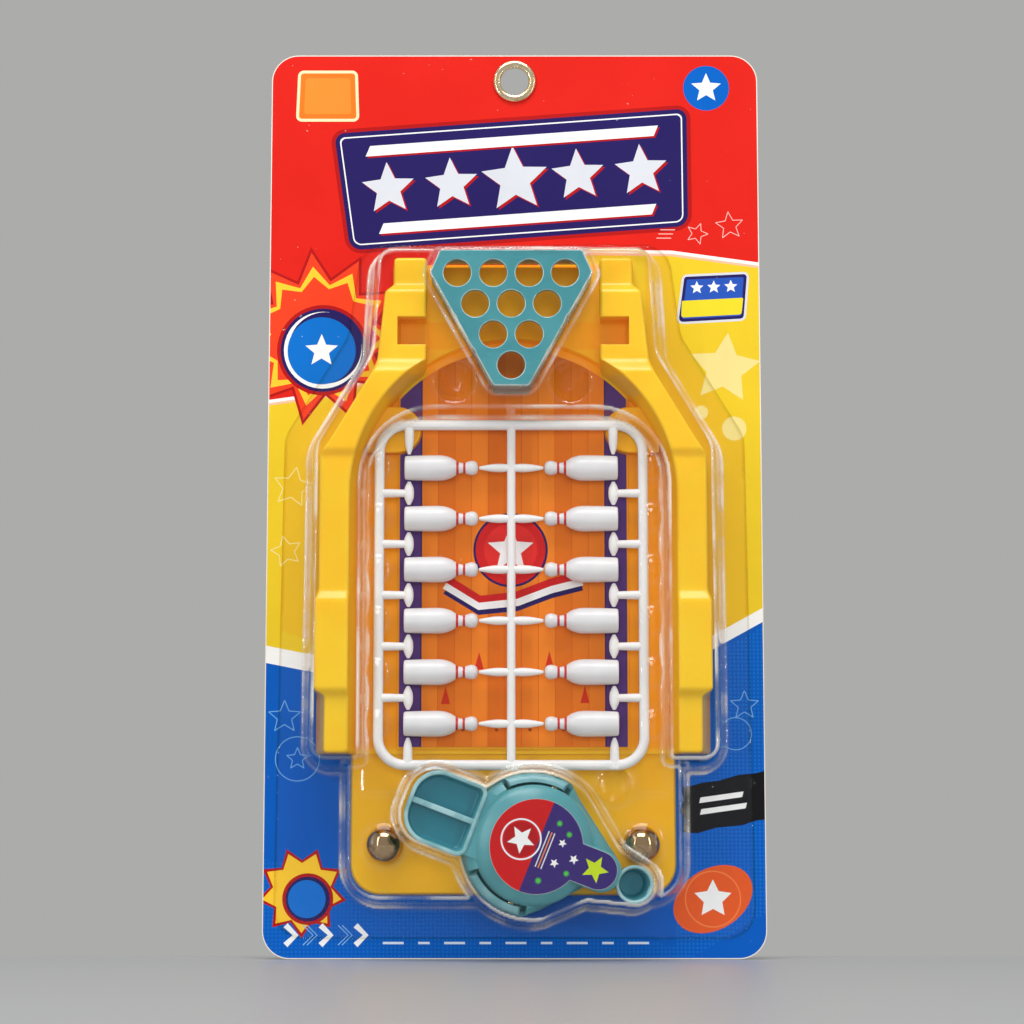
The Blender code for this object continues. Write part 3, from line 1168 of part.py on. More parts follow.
def build():
    """Builds every piece of the pack."""
    clear_scene()
    front = empty("card_front", (0, -CARD_THICKNESS, 0), (math.pi / 2, 0, 0))
    seat_level = TRAY_FOOT_LEVEL + SEAT_GAP
    seat = empty("launcher_seat", (LAUNCHER_X, LAUNCHER_Y, seat_level), (0, 0, -LAUNCHER_TURN), front)
    pivot = empty("launcher_pivot", (0, 0, AXLE_HEIGHT), (0, ARM_REST_TILT, 0), seat)
    make_card(front)
    make_eyelet(front)
    make_tray(front)
    make_lane_sheet(front)
    make_sprue(front)
    make_pins(front)
    make_rack(front)
    make_balls(front)
    make_launcher_base(seat)
    make_axle(seat)
    make_launcher_arm(pivot)
    make_sticker(pivot)
    make_blister(front)


build()
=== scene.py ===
import math

import bmesh
import bpy
import numpy as np
from mathutils import Matrix, Vector
from mathutils.geometry import delaunay_2d_cdt


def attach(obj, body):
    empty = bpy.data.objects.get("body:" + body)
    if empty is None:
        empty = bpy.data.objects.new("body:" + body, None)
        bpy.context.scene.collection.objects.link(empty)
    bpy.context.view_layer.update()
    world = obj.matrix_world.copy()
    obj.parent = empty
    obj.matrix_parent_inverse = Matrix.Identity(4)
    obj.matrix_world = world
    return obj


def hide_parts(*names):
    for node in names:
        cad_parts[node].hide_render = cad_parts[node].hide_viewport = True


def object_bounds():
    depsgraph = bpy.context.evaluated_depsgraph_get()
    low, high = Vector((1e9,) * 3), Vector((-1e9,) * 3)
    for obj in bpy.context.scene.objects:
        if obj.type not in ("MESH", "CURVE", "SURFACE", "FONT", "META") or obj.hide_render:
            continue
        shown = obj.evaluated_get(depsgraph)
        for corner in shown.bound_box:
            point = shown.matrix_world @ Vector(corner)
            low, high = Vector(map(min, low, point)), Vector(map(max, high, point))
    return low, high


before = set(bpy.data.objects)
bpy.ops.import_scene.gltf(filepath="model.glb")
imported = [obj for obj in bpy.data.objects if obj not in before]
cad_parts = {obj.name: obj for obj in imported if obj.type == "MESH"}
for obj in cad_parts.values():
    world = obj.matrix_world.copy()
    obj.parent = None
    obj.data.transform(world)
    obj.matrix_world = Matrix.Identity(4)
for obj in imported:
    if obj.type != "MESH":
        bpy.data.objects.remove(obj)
cad_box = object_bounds()

# The view is taken square on to the pack, from low down, with the lens tipped a little up the card.
# The camera stands 0.79 m in front of it.
scene = bpy.context.scene
scene.view_settings.view_transform = "Standard"
camera = bpy.data.objects.new("camera", bpy.data.cameras.new("camera"))
scene.collection.objects.link(camera)
scene.camera = camera
camera.location = (0, -0.7947, -0.2301)
camera.rotation_euler = (math.radians(97.2145), 0, 0)
camera.data.sensor_width = 36
camera.data.lens = 92.80
camera.data.shift_x = -0.00251
camera.data.shift_y = -0.01419
camera.data.clip_start = 0.01


# The room is an even mid grey. Lamps: a tall narrow strip on each side, a broad soft box and a long
# strip overhead, and a soft box in front, at a level where a colour shows about as it is mixed.
def screen(red, green, blue):
    """Colour from eight-bit screen values, as linear light."""
    light = [((value / 255 + 0.055) / 1.055) ** 2.4 for value in (red, green, blue)]
    return (*light, 1.0)


def emptied(owner):
    """Node tree of a material or world, with nothing in it."""
    owner.use_nodes = True
    owner.node_tree.nodes.clear()
    return owner.node_tree


def put(tree, kind, sockets=None, **settings):
    """A node with its settings made and its sockets set or joined."""
    node = tree.nodes.new(kind)
    for key, value in settings.items():
        setattr(node, key, value)
    for socket, value in (sockets or {}).items():
        if isinstance(value, bpy.types.NodeSocket):
            tree.links.new(value, node.inputs[socket])
        else:
            node.inputs[socket].default_value = value
    return node


def sums(tree, operation, first, second=0.0, clamp=False):
    """Result of one sum on two values."""
    node = put(tree, "ShaderNodeMath", {0: first, 1: second}, operation=operation, use_clamp=clamp)
    return node.outputs[0]


room = bpy.data.worlds.new("grey room")
scene.world = room
tree = emptied(room)
path = put(tree, "ShaderNodeLightPath")
seen = sums(tree, "MAXIMUM", path.outputs["Is Camera Ray"], path.outputs["Is Glossy Ray"])
seen = sums(tree, "MAXIMUM", seen, path.outputs["Is Transmission Ray"])
glow = put(tree, "ShaderNodeBackground", {"Color": (0.96, 0.98, 1.0, 1.0), "Strength": 0.37})
wall = put(tree, "ShaderNodeBackground", {"Color": screen(172, 172, 170), "Strength": 1.0})
both = put(tree, "ShaderNodeMixShader", {0: seen, 1: glow.outputs[0], 2: wall.outputs[0]})
put(tree, "ShaderNodeOutputWorld", {"Surface": both.outputs[0]})


def lamp(name, place, aim, width, height, power):
    """Soft rectangular lamp at a place, turned to face another."""
    light = bpy.data.lights.new(name, "AREA")
    light.shape = "RECTANGLE"
    light.size = width
    light.size_y = height
    light.energy = power
    made = bpy.data.objects.new(name, light)
    scene.collection.objects.link(made)
    made.location = place
    made.rotation_euler = (Vector(aim) - Vector(place)).to_track_quat("-Z", "Y").to_euler()
    return made


middle = (0, 0, -0.14)
lamp("left_strip", (-0.62, -0.60, 0.10), middle, 0.014, 0.80, 1.5)
lamp("right_strip", (0.70, -0.55, -0.02), middle, 0.013, 0.70, 1.35)
lamp("overhead", (-0.05, -0.46, 0.60), middle, 0.62, 0.26, 3.5)
lamp("top_strip", (-0.03, -0.29, 0.60), middle, 0.66, 0.035, 1.5)
fill = lamp("front_fill", (0.05, -1.30, -0.01), middle, 0.60, 0.46, 4.5)
fill.visible_glossy = False


# The table top is a pale matt board. It fades out behind the pack and far from it, so that no edge
# of it shows.
def mixed(tree, share, first, second):
    """Colour part way from the first to the second."""
    node = put(tree, "ShaderNodeMix", {0: share, 6: first, 7: second}, data_type="RGBA")
    return node.outputs[2]


def product(tree, first, *others):
    """Masks laid over one another, as a product."""
    for other in others:
        first = sums(tree, "MULTIPLY", first, other)
    return first


def ranged(tree, value, low, high, to_low=0.0, to_high=1.0, smooth=True):
    """Value moved from one range to another, and held at its ends."""
    kind = "SMOOTHSTEP" if smooth else "LINEAR"
    sockets = {0: value, 1: low, 2: high, 3: to_low, 4: to_high}
    return put(tree, "ShaderNodeMapRange", sockets, interpolation_type=kind).outputs[0]


def place_on(tree):
    """Place on a piece, whole and along each of its own axes."""
    spot = put(tree, "ShaderNodeTexCoord").outputs["Object"]
    return spot, put(tree, "ShaderNodeSeparateXYZ", {0: spot}).outputs


def noise(tree, spot, scale, detail=2.0):
    """Cloudy value from nothing to one."""
    return put(tree, "ShaderNodeTexNoise", {"Vector": spot, "Scale": scale, "Detail": detail}).outputs[0]


table_top = bmesh.new()
bmesh.ops.create_circle(table_top, cap_ends=True, radius=1.2, segments=96)
mesh = bpy.data.meshes.new("table_top")
table_top.to_mesh(mesh)
table_top.free()
table = bpy.data.objects.new("table_top", mesh)
scene.collection.objects.link(table)
table.location = (0, 0, cad_box[0].z - 0.0002)
finish = bpy.data.materials.new("pale_board")
tree = emptied(finish)
spot, parts = place_on(tree)
far = put(tree, "ShaderNodeVectorMath", {0: spot}, operation="LENGTH").outputs["Value"]
near_foot = ranged(tree, parts["Y"], 0.004, 0.030, 1.0, 0.0)
shown = product(tree, near_foot, ranged(tree, far, 0.6, 1.15, 1.0, 0.0))
tone = mixed(tree, noise(tree, spot, 900.0, 3.0), screen(168, 169, 170), screen(176, 177, 178))
board = put(tree, "ShaderNodeBsdfPrincipled", {"Base Color": tone, "Roughness": 0.42})
clear = put(tree, "ShaderNodeBsdfTransparent")
faded = put(tree, "ShaderNodeMixShader", {0: shown, 1: clear.outputs[0], 2: board.outputs[0]})
put(tree, "ShaderNodeOutputMaterial", {"Surface": faded.outputs[0]})
mesh.materials.append(finish)


# Backing card: one millimetre of white folding board, printed in four colours, varnished, cut with
# round corners and punched for the eyelet. The bare board shows as a pale line at its cut edges.
card_front = Matrix.Translation((0, -0.0010, 0)) @ Matrix.Rotation(math.pi / 2, 4, "X")


def arc(centre, radius, start, end, steps):
    """Points on an arc, both ends included. Angles in degrees."""
    points = []
    for step in range(steps + 1):
        angle = math.radians(start + (end - start) * step / steps)
        points.append((centre[0] + radius * math.cos(angle), centre[1] + radius * math.sin(angle)))
    return points


def circle(centre, radius, steps=48):
    """Points of a full circle."""
    return arc(centre, radius, 0, 360, steps)[:-1]


def moved_out(corners, growth):
    """Corners (x, y, radius) of a counter-clockwise outline, with each side moved out by growth."""
    grown = []
    for index, (x, y, radius) in enumerate(corners):
        here = Vector((x, y))
        side_in = (here - Vector(corners[index - 1][:2])).normalized()
        side_out = (Vector(corners[(index + 1) % len(corners)][:2]) - here).normalized()
        normal_in = Vector((side_in.y, -side_in.x))
        normal_out = Vector((side_out.y, -side_out.x))
        point = here + (normal_in + normal_out) * (growth / (1 + normal_in.dot(normal_out)))
        turn = side_in.x * side_out.y - side_in.y * side_out.x
        changed = radius + growth if turn > 0 else radius - growth
        grown.append((point.x, point.y, max(changed, radius / 2) if radius else 0))
    return grown


def rounded(corners, growth=0.0, steps=8):
    """Outline through corners (x, y, radius), each rounded to its radius."""
    corners = moved_out(corners, growth)
    outline = []
    for index, (x, y, radius) in enumerate(corners):
        here = Vector((x, y))
        if not radius:
            outline.append((x, y))
            continue
        before = (Vector(corners[index - 1][:2]) - here).normalized()
        after = (Vector(corners[(index + 1) % len(corners)][:2]) - here).normalized()
        half_angle = before.angle(after) / 2
        centre = here + (before + after).normalized() * (radius / math.sin(half_angle))
        run = radius / math.tan(half_angle)
        first = here + before * run - centre
        last = here + after * run - centre
        start = math.degrees(math.atan2(first.y, first.x))
        sweep = math.degrees(math.atan2(first.x * last.y - first.y * last.x, first.dot(last)))
        outline += arc(centre, radius, start, start + sweep, steps)
    return outline


def both_sides(half):
    """Counter-clockwise corners from the right half, which runs from top to bottom."""
    return [(-x, y, radius) for x, y, radius in half] + half[::-1]


def turned_by(points, centre, degrees):
    """Points swung about a centre."""
    turn = Matrix.Rotation(math.radians(degrees), 2)
    swung = [turn @ (Vector(point) - Vector(centre)) + Vector(centre) for point in points]
    return [(point.x, point.y) for point in swung]


def star(centre, radius, inner=0.45, points=5, tilt=90.0, squash=1.0):
    """Outline of a pointed star."""
    outline = []
    for step in range(2 * points):
        angle = math.radians(tilt + 180 * step / points)
        reach = radius if step % 2 == 0 else radius * inner
        outline.append((centre[0] + reach * math.cos(angle), centre[1] + squash * reach * math.sin(angle)))
    return outline


def stroke(points, width):
    """Outline of a line of even width along open points."""
    left, right = [], []
    for index, point in enumerate(points):
        here = Vector(point)
        before = Vector(points[max(index - 1, 0)])
        after = Vector(points[min(index + 1, len(points) - 1)])
        along = (after - before).normalized()
        across = Vector((-along.y, along.x)) * (width / 2)
        left.append(tuple(here + across))
        right.append(tuple(here - across))
    return left + right[::-1]


def ring_line(centre, radius, width, start=0.0):
    """A thin ring as two half-round strokes."""
    halves = (arc(centre, radius, start, start + 180, 28), arc(centre, radius, start + 180, start + 360, 28))
    return [stroke(half, width) for half in halves]


def outlined(points, width):
    """A closed thin outline, one stroke for each side."""
    closed = points + points[:1]
    return [stroke([first, last], width) for first, last in zip(closed, closed[1:])]


def slab(x, y, width, height, lean=0.0):
    """Leaning bar with its middle at a place."""
    shift = lean * height / 2
    return [(x - width / 2 - shift, y - height / 2), (x + width / 2 - shift, y - height / 2),
            (x + width / 2 + shift, y + height / 2), (x - width / 2 + shift, y + height / 2)]


def printed_sheet(name, outline, printed, holes, inks, low, high, place):
    """A flat sheet whose front is cut along its artwork, with each patch holding its ink. An ink is
    (outline, colour, share of dots), and a later one lies over an earlier one."""
    loops = [outline, printed] + [ink[0] for ink in inks] + holes
    points, faces = [], []
    for loop in loops:
        turns = zip(loop, loop[1:] + loop[:1])
        area = sum(a[0] * b[1] - b[0] * a[1] for a, b in turns)
        faces.append([len(points) + index for index in range(len(loop))])
        points += [Vector(point) for point in (loop if area > 0 else loop[::-1])]
    first_hole = len(loops) - len(holes)
    corners, _, patches, _, _, sources = delaunay_2d_cdt(points, [], faces, 1, 1e-6)
    sheet = bmesh.new()
    ink_layer = sheet.loops.layers.float_color.new("print")
    verts = [sheet.verts.new((corner.x, corner.y, high)) for corner in corners]
    bare = screen(236, 230, 218)
    for patch, source in zip(patches, sources):
        if 0 not in source or max(source) >= first_hole:
            continue
        face = sheet.faces.new([verts[index] for index in patch])
        colour, dots = bare, 0.0
        if 1 in source and max(source) > 1:
            _, colour, dots = inks[max(source) - 2]
        for loop in face.loops:
            loop[ink_layer] = (*colour[:3], dots)
    bmesh.ops.delete(sheet, geom=[vert for vert in sheet.verts if not vert.link_faces], context="VERTS")
    rim = [edge for edge in sheet.edges if len(edge.link_faces) == 1]
    sides = bmesh.ops.extrude_edge_only(sheet, edges=rim)["geom"]
    for item in sides:
        if isinstance(item, bmesh.types.BMVert):
            item.co.z = low
    rear = [item for item in sides if isinstance(item, bmesh.types.BMEdge)]
    back = bmesh.ops.triangle_fill(sheet, use_beauty=True, edges=rear)["geom"]
    plain = [item for item in sides + back if isinstance(item, bmesh.types.BMFace)]
    for face in plain:
        face.material_index = 1
    bmesh.ops.recalc_face_normals(sheet, faces=sheet.faces)
    mesh = bpy.data.meshes.new(name)
    sheet.to_mesh(mesh)
    sheet.free()
    piece = bpy.data.objects.new(name, mesh)
    scene.collection.objects.link(piece)
    piece.matrix_world = place
    return piece


def new_group(name, inputs, outputs):
    """Shader node group with its sockets: (label, value) going in and labels coming out."""
    group = bpy.data.node_groups.new(name, "ShaderNodeTree")
    for label, value in inputs:
        kind = "NodeSocketFloat" if isinstance(value, float) else "NodeSocketColor"
        group.interface.new_socket(label, in_out="INPUT", socket_type=kind).default_value = value
    for label, kind in outputs:
        group.interface.new_socket(label, in_out="OUTPUT", socket_type=kind)
    return group, group.nodes.new("NodeGroupInput"), group.nodes.new("NodeGroupOutput")


dot_screen, start, end = new_group(
    "halftone screen", [("Pitch", 0.0012), ("Size", 0.30)], [("Mask", "NodeSocketFloat")])
axes = place_on(dot_screen)[1]
rates = sums(dot_screen, "DIVIDE", 2 * math.pi, start.outputs["Pitch"])
waves = []
for axis in ("X", "Y"):
    turn = sums(dot_screen, "MULTIPLY", axes[axis], rates)
    waves.append(sums(dot_screen, "COSINE", turn))
peaks = sums(dot_screen, "MULTIPLY", sums(dot_screen, "ADD", waves[0], waves[1]), 0.5)
floor_level = sums(dot_screen, "SUBTRACT", 1.0, sums(dot_screen, "MULTIPLY", start.outputs["Size"], 2.0))
mask = ranged(dot_screen, sums(dot_screen, "SUBTRACT", peaks, floor_level), -0.15, 0.15)
dot_screen.links.new(mask, end.inputs["Mask"])

handling, start, end = new_group(
    "ink wear", [("Ink", (1.0, 1.0, 1.0, 1.0)), ("Board", (0.8, 0.78, 0.72, 1.0)), ("Wear", 0.5)],
    [("Color", "NodeSocketColor"), ("Rub", "NodeSocketFloat"), ("Height", "NodeSocketFloat")])
spot = put(handling, "ShaderNodeTexCoord").outputs["Object"]
cloud, fibre = noise(handling, spot, 38.0, 4.0), noise(handling, spot, 2600.0)
fleck = noise(handling, spot, 620.0)
chips = product(handling, ranged(handling, fleck, 0.735, 0.76), ranged(handling, cloud, 0.50, 0.62),
                start.outputs["Wear"])
tone = ranged(handling, cloud, 0.3, 0.7, 0.965, 1.02)
toned = put(handling, "ShaderNodeVectorMath", {0: start.outputs["Ink"], 3: tone}, operation="SCALE")
worn = mixed(handling, chips, toned.outputs[0], start.outputs["Board"])
handling.links.new(worn, end.inputs["Color"])
handling.links.new(sums(handling, "ADD", cloud, chips), end.inputs["Rub"])
handling.links.new(fibre, end.inputs["Height"])


def group_node(tree, group, **sockets):
    """A use of a node group, with its sockets set or joined."""
    return put(tree, "ShaderNodeGroup", sockets, node_tree=group)


def bumped(tree, strength, depth, height):
    """Surface direction over a fine relief."""
    sockets = {"Strength": strength, "Distance": depth, "Height": height}
    return put(tree, "ShaderNodeBump", sockets).outputs[0]


def surfaced(tree, sockets):
    """Ends a material in one surface."""
    shader = put(tree, "ShaderNodeBsdfPrincipled", sockets)
    put(tree, "ShaderNodeOutputMaterial", {"Surface": shader.outputs[0]})


def print_finish(name, dot_colour, pitch, roughness, wear, coat):
    """Varnished offset print that takes its inks from the sheet's patches."""
    finish = bpy.data.materials.new(name)
    tree = emptied(finish)
    inks = put(tree, "ShaderNodeVertexColor", layer_name="print")
    dots = group_node(tree, dot_screen, Pitch=pitch)
    share = sums(tree, "MULTIPLY", dots.outputs["Mask"], inks.outputs["Alpha"])
    colour = mixed(tree, share, inks.outputs["Color"], dot_colour)
    used = group_node(tree, handling, Ink=colour, Wear=wear)
    gloss = ranged(tree, used.outputs["Rub"], 0.3, 0.8, roughness - 0.05, roughness + 0.08)
    surfaced(tree, {
        "Base Color": used.outputs["Color"], "Roughness": gloss, "Specular IOR Level": 0.14,
        "Coat Weight": coat, "Coat Roughness": 0.12,
        "Normal": bumped(tree, 0.10, 0.00008, used.outputs["Height"])})
    return finish


def bare_board(name, colour, roughness):
    """Uncoated board with its fibres, for cut edges and backs."""
    finish = bpy.data.materials.new(name)
    tree = emptied(finish)
    used = group_node(tree, handling, Ink=colour, Wear=0.2)
    gloss = ranged(tree, used.outputs["Rub"], 0.3, 0.8, roughness - 0.06, roughness + 0.06)
    surfaced(tree, {
        "Base Color": used.outputs["Color"], "Roughness": gloss,
        "Normal": bumped(tree, 0.35, 0.00012, used.outputs["Height"])})
    return finish


def paint(inks, colour, *shapes, dots=0.0):
    """Lays shapes of one colour over a sheet's inks. Dots is the share of the screen of dots in them."""
    inks.extend((shape, colour, dots) for shape in shapes)


red = screen(219, 34, 24)
deep_red = screen(176, 22, 22)
flame_orange = screen(238, 66, 34)
flame_yellow = screen(250, 200, 52)
yellow = screen(233, 199, 42)
cream = screen(250, 226, 178)
orange = screen(240, 120, 36)
blue = screen(0, 90, 186)
blue_dot = screen(14, 112, 204)
navy = screen(38, 28, 92)
white = screen(244, 244, 242)
silver = screen(214, 216, 222)
black = screen(20, 20, 24)
pale_yellow = screen(238, 220, 140)
seal_ochre = screen(234, 189, 36)
line_pink = screen(250, 190, 180)
line_blue = screen(120, 178, 226)
arrow_blue = screen(130, 184, 228)

card_corners = both_sides([(0.0750, 0.0083, 0.0083), (0.0750, -0.2676, 0.0083)])
inks = [([(-0.09, 0.02), (-0.09, -0.30), (0.09, -0.30), (0.09, 0.02)], red, 0.0)]
field_edge = [(-0.0900, -0.1030), (-0.0763, -0.1004), (-0.0501, -0.0967), (-0.0300, -0.0800),
              (-0.0050, -0.0620), (0.0231, -0.0535), (0.0480, -0.0538), (0.0746, -0.0575), (0.0900, -0.0598)]
paint(inks, yellow, field_edge + [(0.0900, -0.3000), (-0.0900, -0.3000)])
sealed = [(0.0400, -0.0538), (0.0466, -0.0538), (0.0474, -0.0560), (0.0500, -0.0760), (0.0516, -0.0832),
          (0.0548, -0.0888), (0.0672, -0.1080), (0.0692, -0.1118), (0.0699, -0.1160), (0.0707, -0.1700),
          (0.0400, -0.1800)]
for side in (1, -1):
    top = -0.0538 if side > 0 else -0.0990
    paint(inks, seal_ochre, [(side * x, min(y, top)) for x, y in sealed])
paint(inks, white, stroke(field_edge, 0.0010))
paint(inks, screen(248, 190, 160), stroke([(x, y - 0.0009) for x, y in field_edge], 0.0007))
band_edge = [(-0.0900, -0.1718), (-0.0751, -0.1745), (-0.0600, -0.1775), (0.0, -0.1900), (0.0597, -0.1715),
             (0.0755, -0.1628), (0.0900, -0.1545)]
paint(inks, white, band_edge + [(0.0900, -0.3000), (-0.0900, -0.3000)])
lower = [(x, y - (0.0052 if x < 0.01 else 0.0042)) for x, y in band_edge]
paint(inks, blue, lower + [(0.0900, -0.3000), (-0.0900, -0.3000)])
paint(inks, blue, [(0.0480, -0.1840), (0.0900, -0.1600), (0.0900, -0.2450), (0.0480, -0.2700)], dots=1.0)
foot_field = [(-0.0900, -0.2350), (-0.0560, -0.2420), (0.0480, -0.2640), (0.0480, -0.3000),
              (-0.0900, -0.3000)]
paint(inks, blue, foot_field, dots=0.8)

burst = (-0.0595, -0.0800)
paint(inks, deep_red, star(burst, 0.0280, 0.66, 11, 96))
paint(inks, flame_orange, star(burst, 0.0262, 0.66, 11, 96))
paint(inks, flame_yellow, star(burst, 0.0218, 0.74, 11, 96))
paint(inks, flame_orange, star(burst, 0.0186, 0.80, 11, 96))
disc = (-0.0585, -0.0843)
paint(inks, deep_red, circle(disc, 0.0140))
paint(inks, navy, circle(disc, 0.0129))
paint(inks, white, circle(disc, 0.0119))
paint(inks, navy, circle((disc[0] + 0.0007, disc[1] + 0.0007), 0.0111))
paint(inks, screen(10, 110, 200), circle((disc[0] - 0.0004, disc[1] - 0.0002), 0.0104))
paint(inks, white, star((disc[0] - 0.0004, disc[1] - 0.0002), 0.0052))

small_disc = (-0.0615, -0.2500)
paint(inks, deep_red, star((small_disc[0] - 0.0018, small_disc[1] + 0.0020), 0.0135, 0.70, 9, 110))
paint(inks, flame_yellow, star((small_disc[0] - 0.0018, small_disc[1] + 0.0020), 0.0120, 0.72, 9, 110))
paint(inks, deep_red, circle(small_disc, 0.0076))
paint(inks, navy, circle(small_disc, 0.0066))
paint(inks, screen(16, 112, 204), circle((small_disc[0] - 0.0003, small_disc[1]), 0.0056))

plaque = both_sides([(0.0545, -0.0125, 0.0030), (0.0520, -0.0495, 0.0040)])


def on_plaque(points):
    """Shape tilted with the plaque."""
    return turned_by(points, (0, -0.030), 4.2)


for growth, ink in ((0.0012, deep_red), (0.0000, navy), (-0.0014, white), (-0.0018, navy)):
    paint(inks, ink, on_plaque(rounded(plaque, growth)))
for index in range(5):
    spot = ((index - 2) * 0.0195, -0.0310)
    size = 0.0106 if index == 2 else 0.0084
    paint(inks, deep_red, on_plaque(star((spot[0] + 0.0006, spot[1] - 0.0007), size)))
    paint(inks, silver, on_plaque(star(spot, size)))
for y, width in ((-0.0188, 0.0890), (-0.0434, 0.0840)):
    paint(inks, deep_red, on_plaque(slab(0.0005, y - 0.0006, width, 0.0032, 0.5)))
    paint(inks, white, on_plaque(slab(0, y, width, 0.0032, 0.5)))

plate = both_sides([(0.0092, 0.0080, 0.0018), (0.0098, -0.0082, 0.0018)])
for growth, ink in ((0.0, cream), (-0.0009, orange), (-0.0024, screen(246, 140, 50))):
    paint(inks, ink, [(x - 0.0577, y - 0.0045) for x, y in rounded(plate, growth)])
paint(inks, screen(0, 96, 190), circle((0.0592, -0.0021), 0.0071))
paint(inks, white, star((0.0592, -0.0021), 0.0048))
for centre, radius, tilt in (((0.0560, -0.0480), 0.0034, 70), ((0.0660, -0.0455), 0.0044, 96)):
    paint(inks, line_pink, *outlined(star(centre, radius, 0.45, 5, tilt), 0.00022))
for step in range(3):
    left = 0.0470 - 0.0006 * step
    paint(inks, line_pink, slab(left, -0.0468 - 0.0013 * step, 0.0045, 0.00026))

badge = [(0.0520, -0.0615, 0.0010), (0.0501, -0.0756, 0.0012), (0.0700, -0.0745, 0.0012),
         (0.0712, -0.0606, 0.0010)]
for growth, ink in ((0.0007, silver), (0.0, navy), (-0.0009, screen(40, 84, 180))):
    paint(inks, ink, rounded(badge, growth))
paint(inks, screen(232, 214, 44), rounded([
    (0.0512, -0.0690, 0.0004), (0.0509, -0.0742, 0.0008), (0.0694, -0.0732, 0.0008),
    (0.0700, -0.0680, 0.0004)]))
for index in range(3):
    paint(inks, white, star((0.0558 + index * 0.0052, -0.0649 + index * 0.0002), 0.0021))
paint(inks, pale_yellow, star((0.0640, -0.0900), 0.0112, 0.5, 5, 84))
paint(inks, pale_yellow, circle((0.0668, -0.1085), 0.0037))
paint(inks, pale_yellow, circle((0.0568, -0.1035), 0.0021))
for centre, radius, tilt in (((-0.0672, -0.1265), 0.0062, 80), ((-0.0690, -0.1460), 0.0048, 104)):
    paint(inks, pale_yellow, *outlined(star(centre, radius, 0.5, 5, tilt), 0.00034))
for centre, radius in (((-0.0650, -0.2085), 0.0066), ((0.0662, -0.2010), 0.0048)):
    paint(inks, line_blue, *ring_line(centre, radius, 0.00024))
for centre, radius in (
        ((-0.0690, -0.1960), 0.0050), ((0.0690, -0.1925), 0.0044), ((-0.0650, -0.2085), 0.0034)):
    paint(inks, line_blue, *outlined(star(centre, radius), 0.00024))

label = [(0.0505, -0.2172), (0.0560, -0.2156), (0.0610, -0.2150), (0.0668, -0.2133), (0.0720, -0.2128),
         (0.0790, -0.2110), (0.0790, -0.2262), (0.0722, -0.2268), (0.0680, -0.2282), (0.0600, -0.2290),
         (0.0545, -0.2306), (0.0502, -0.2302), (0.0512, -0.2268), (0.0494, -0.2240), (0.0508, -0.2204)]
paint(inks, black, label)
for x, y, width in ((0.0598, -0.2202, 0.0130), (0.0604, -0.2236, 0.0138)):
    paint(inks, white, turned_by(slab(x + 0.0020, y, width, 0.0016, 0.4), (x, y), 8))
mark = (0.0590, -0.2500)
leaning_oval = []
for step in range(40):
    across, up = math.cos(2 * math.pi * step / 40), math.sin(2 * math.pi * step / 40)
    leaning_oval.append((mark[0] + 0.0118 * across, mark[1] + 0.0096 * up + 0.0030 * across))
paint(inks, screen(230, 92, 36), leaning_oval)
paint(inks, screen(240, 130, 70), *ring_line(mark, 0.0082, 0.0004))
paint(inks, white, star(mark, 0.0058, 0.5))
for index in range(5):
    left = -0.0680 + index * 0.0052
    solid = index % 2 == 0
    tip = [(left, -0.2577), (left + 0.0030, -0.2606), (left, -0.2635)]
    if solid:
        paint(inks, white, stroke(tip, 0.0017))
    else:
        paint(inks, arrow_blue, stroke(tip, 0.0003))
        paint(inks, arrow_blue, stroke([(x + 0.0012, y) for x, y in tip], 0.0003))
for index in range(9):
    width = 0.0062 if index % 2 == 0 else 0.0034
    paint(inks, screen(214, 228, 242), slab(-0.0360 + index * 0.0091, -0.2629, width, 0.0007))

backing = printed_sheet(
    "backing_card_print", rounded(card_corners, 0, 14), rounded(card_corners, -0.00028, 14),
    [circle((0, 0), 0.0050, 64)], inks, -0.0010, 0.0, card_front)
backing.data.materials.append(print_finish("printed_card", blue_dot, 0.00118, 0.34, 0.5, 0.04))
backing.data.materials.append(bare_board("card_edge_and_back", screen(226, 222, 212), 0.62))
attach(backing, "pack")
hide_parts("backing_card")


# Eyelet: brass strip drawn into a short barrel, pushed through the card from the front and rolled
# over behind. Its front flange is a full round roll.
def turned(name, profile, steps, place=None, axis="z", closed=False):
    """Solid of revolution from (radius, distance along the axis), closed by its axis or by itself."""
    body = bmesh.new()
    rings = []
    for radius, along in profile:
        ring = []
        for step in range(steps if radius else 1):
            angle = 2 * math.pi * step / steps
            x, y, z = radius * math.cos(angle), radius * math.sin(angle), along
            ring.append(body.verts.new({"z": (x, y, z), "x": (z, x, y), "y": (y, z, x)}[axis]))
        rings.append(ring)
    pairs = list(zip(rings, rings[1:])) + ([(rings[-1], rings[0])] if closed else [])
    for first, last in pairs:
        for step in range(steps):
            after = (step + 1) % steps
            around = [first[step % len(first)], first[after % len(first)]]
            around += [last[after % len(last)], last[step % len(last)]]
            body.faces.new(list(dict.fromkeys(around)))
    return made_solid(name, body, place)


def made_solid(name, body, place=None):
    """Object from a finished body, with its faces turned outwards."""
    bmesh.ops.recalc_face_normals(body, faces=body.faces)
    mesh = bpy.data.meshes.new(name)
    body.to_mesh(mesh)
    body.free()
    made = bpy.data.objects.new(name, mesh)
    scene.collection.objects.link(made)
    if place is not None:
        made.matrix_world = place
    return made


def shaded(piece, degrees=35.0):
    """Smooth faces with crisp edges where they turn sharply, and flat ones kept flat."""
    piece.data.shade_smooth()
    piece.data.set_sharp_from_angle(angle=math.radians(degrees))
    evened = piece.modifiers.new("even_faces", "WEIGHTED_NORMAL")
    evened.keep_sharp = True
    evened.weight = 80
    return piece


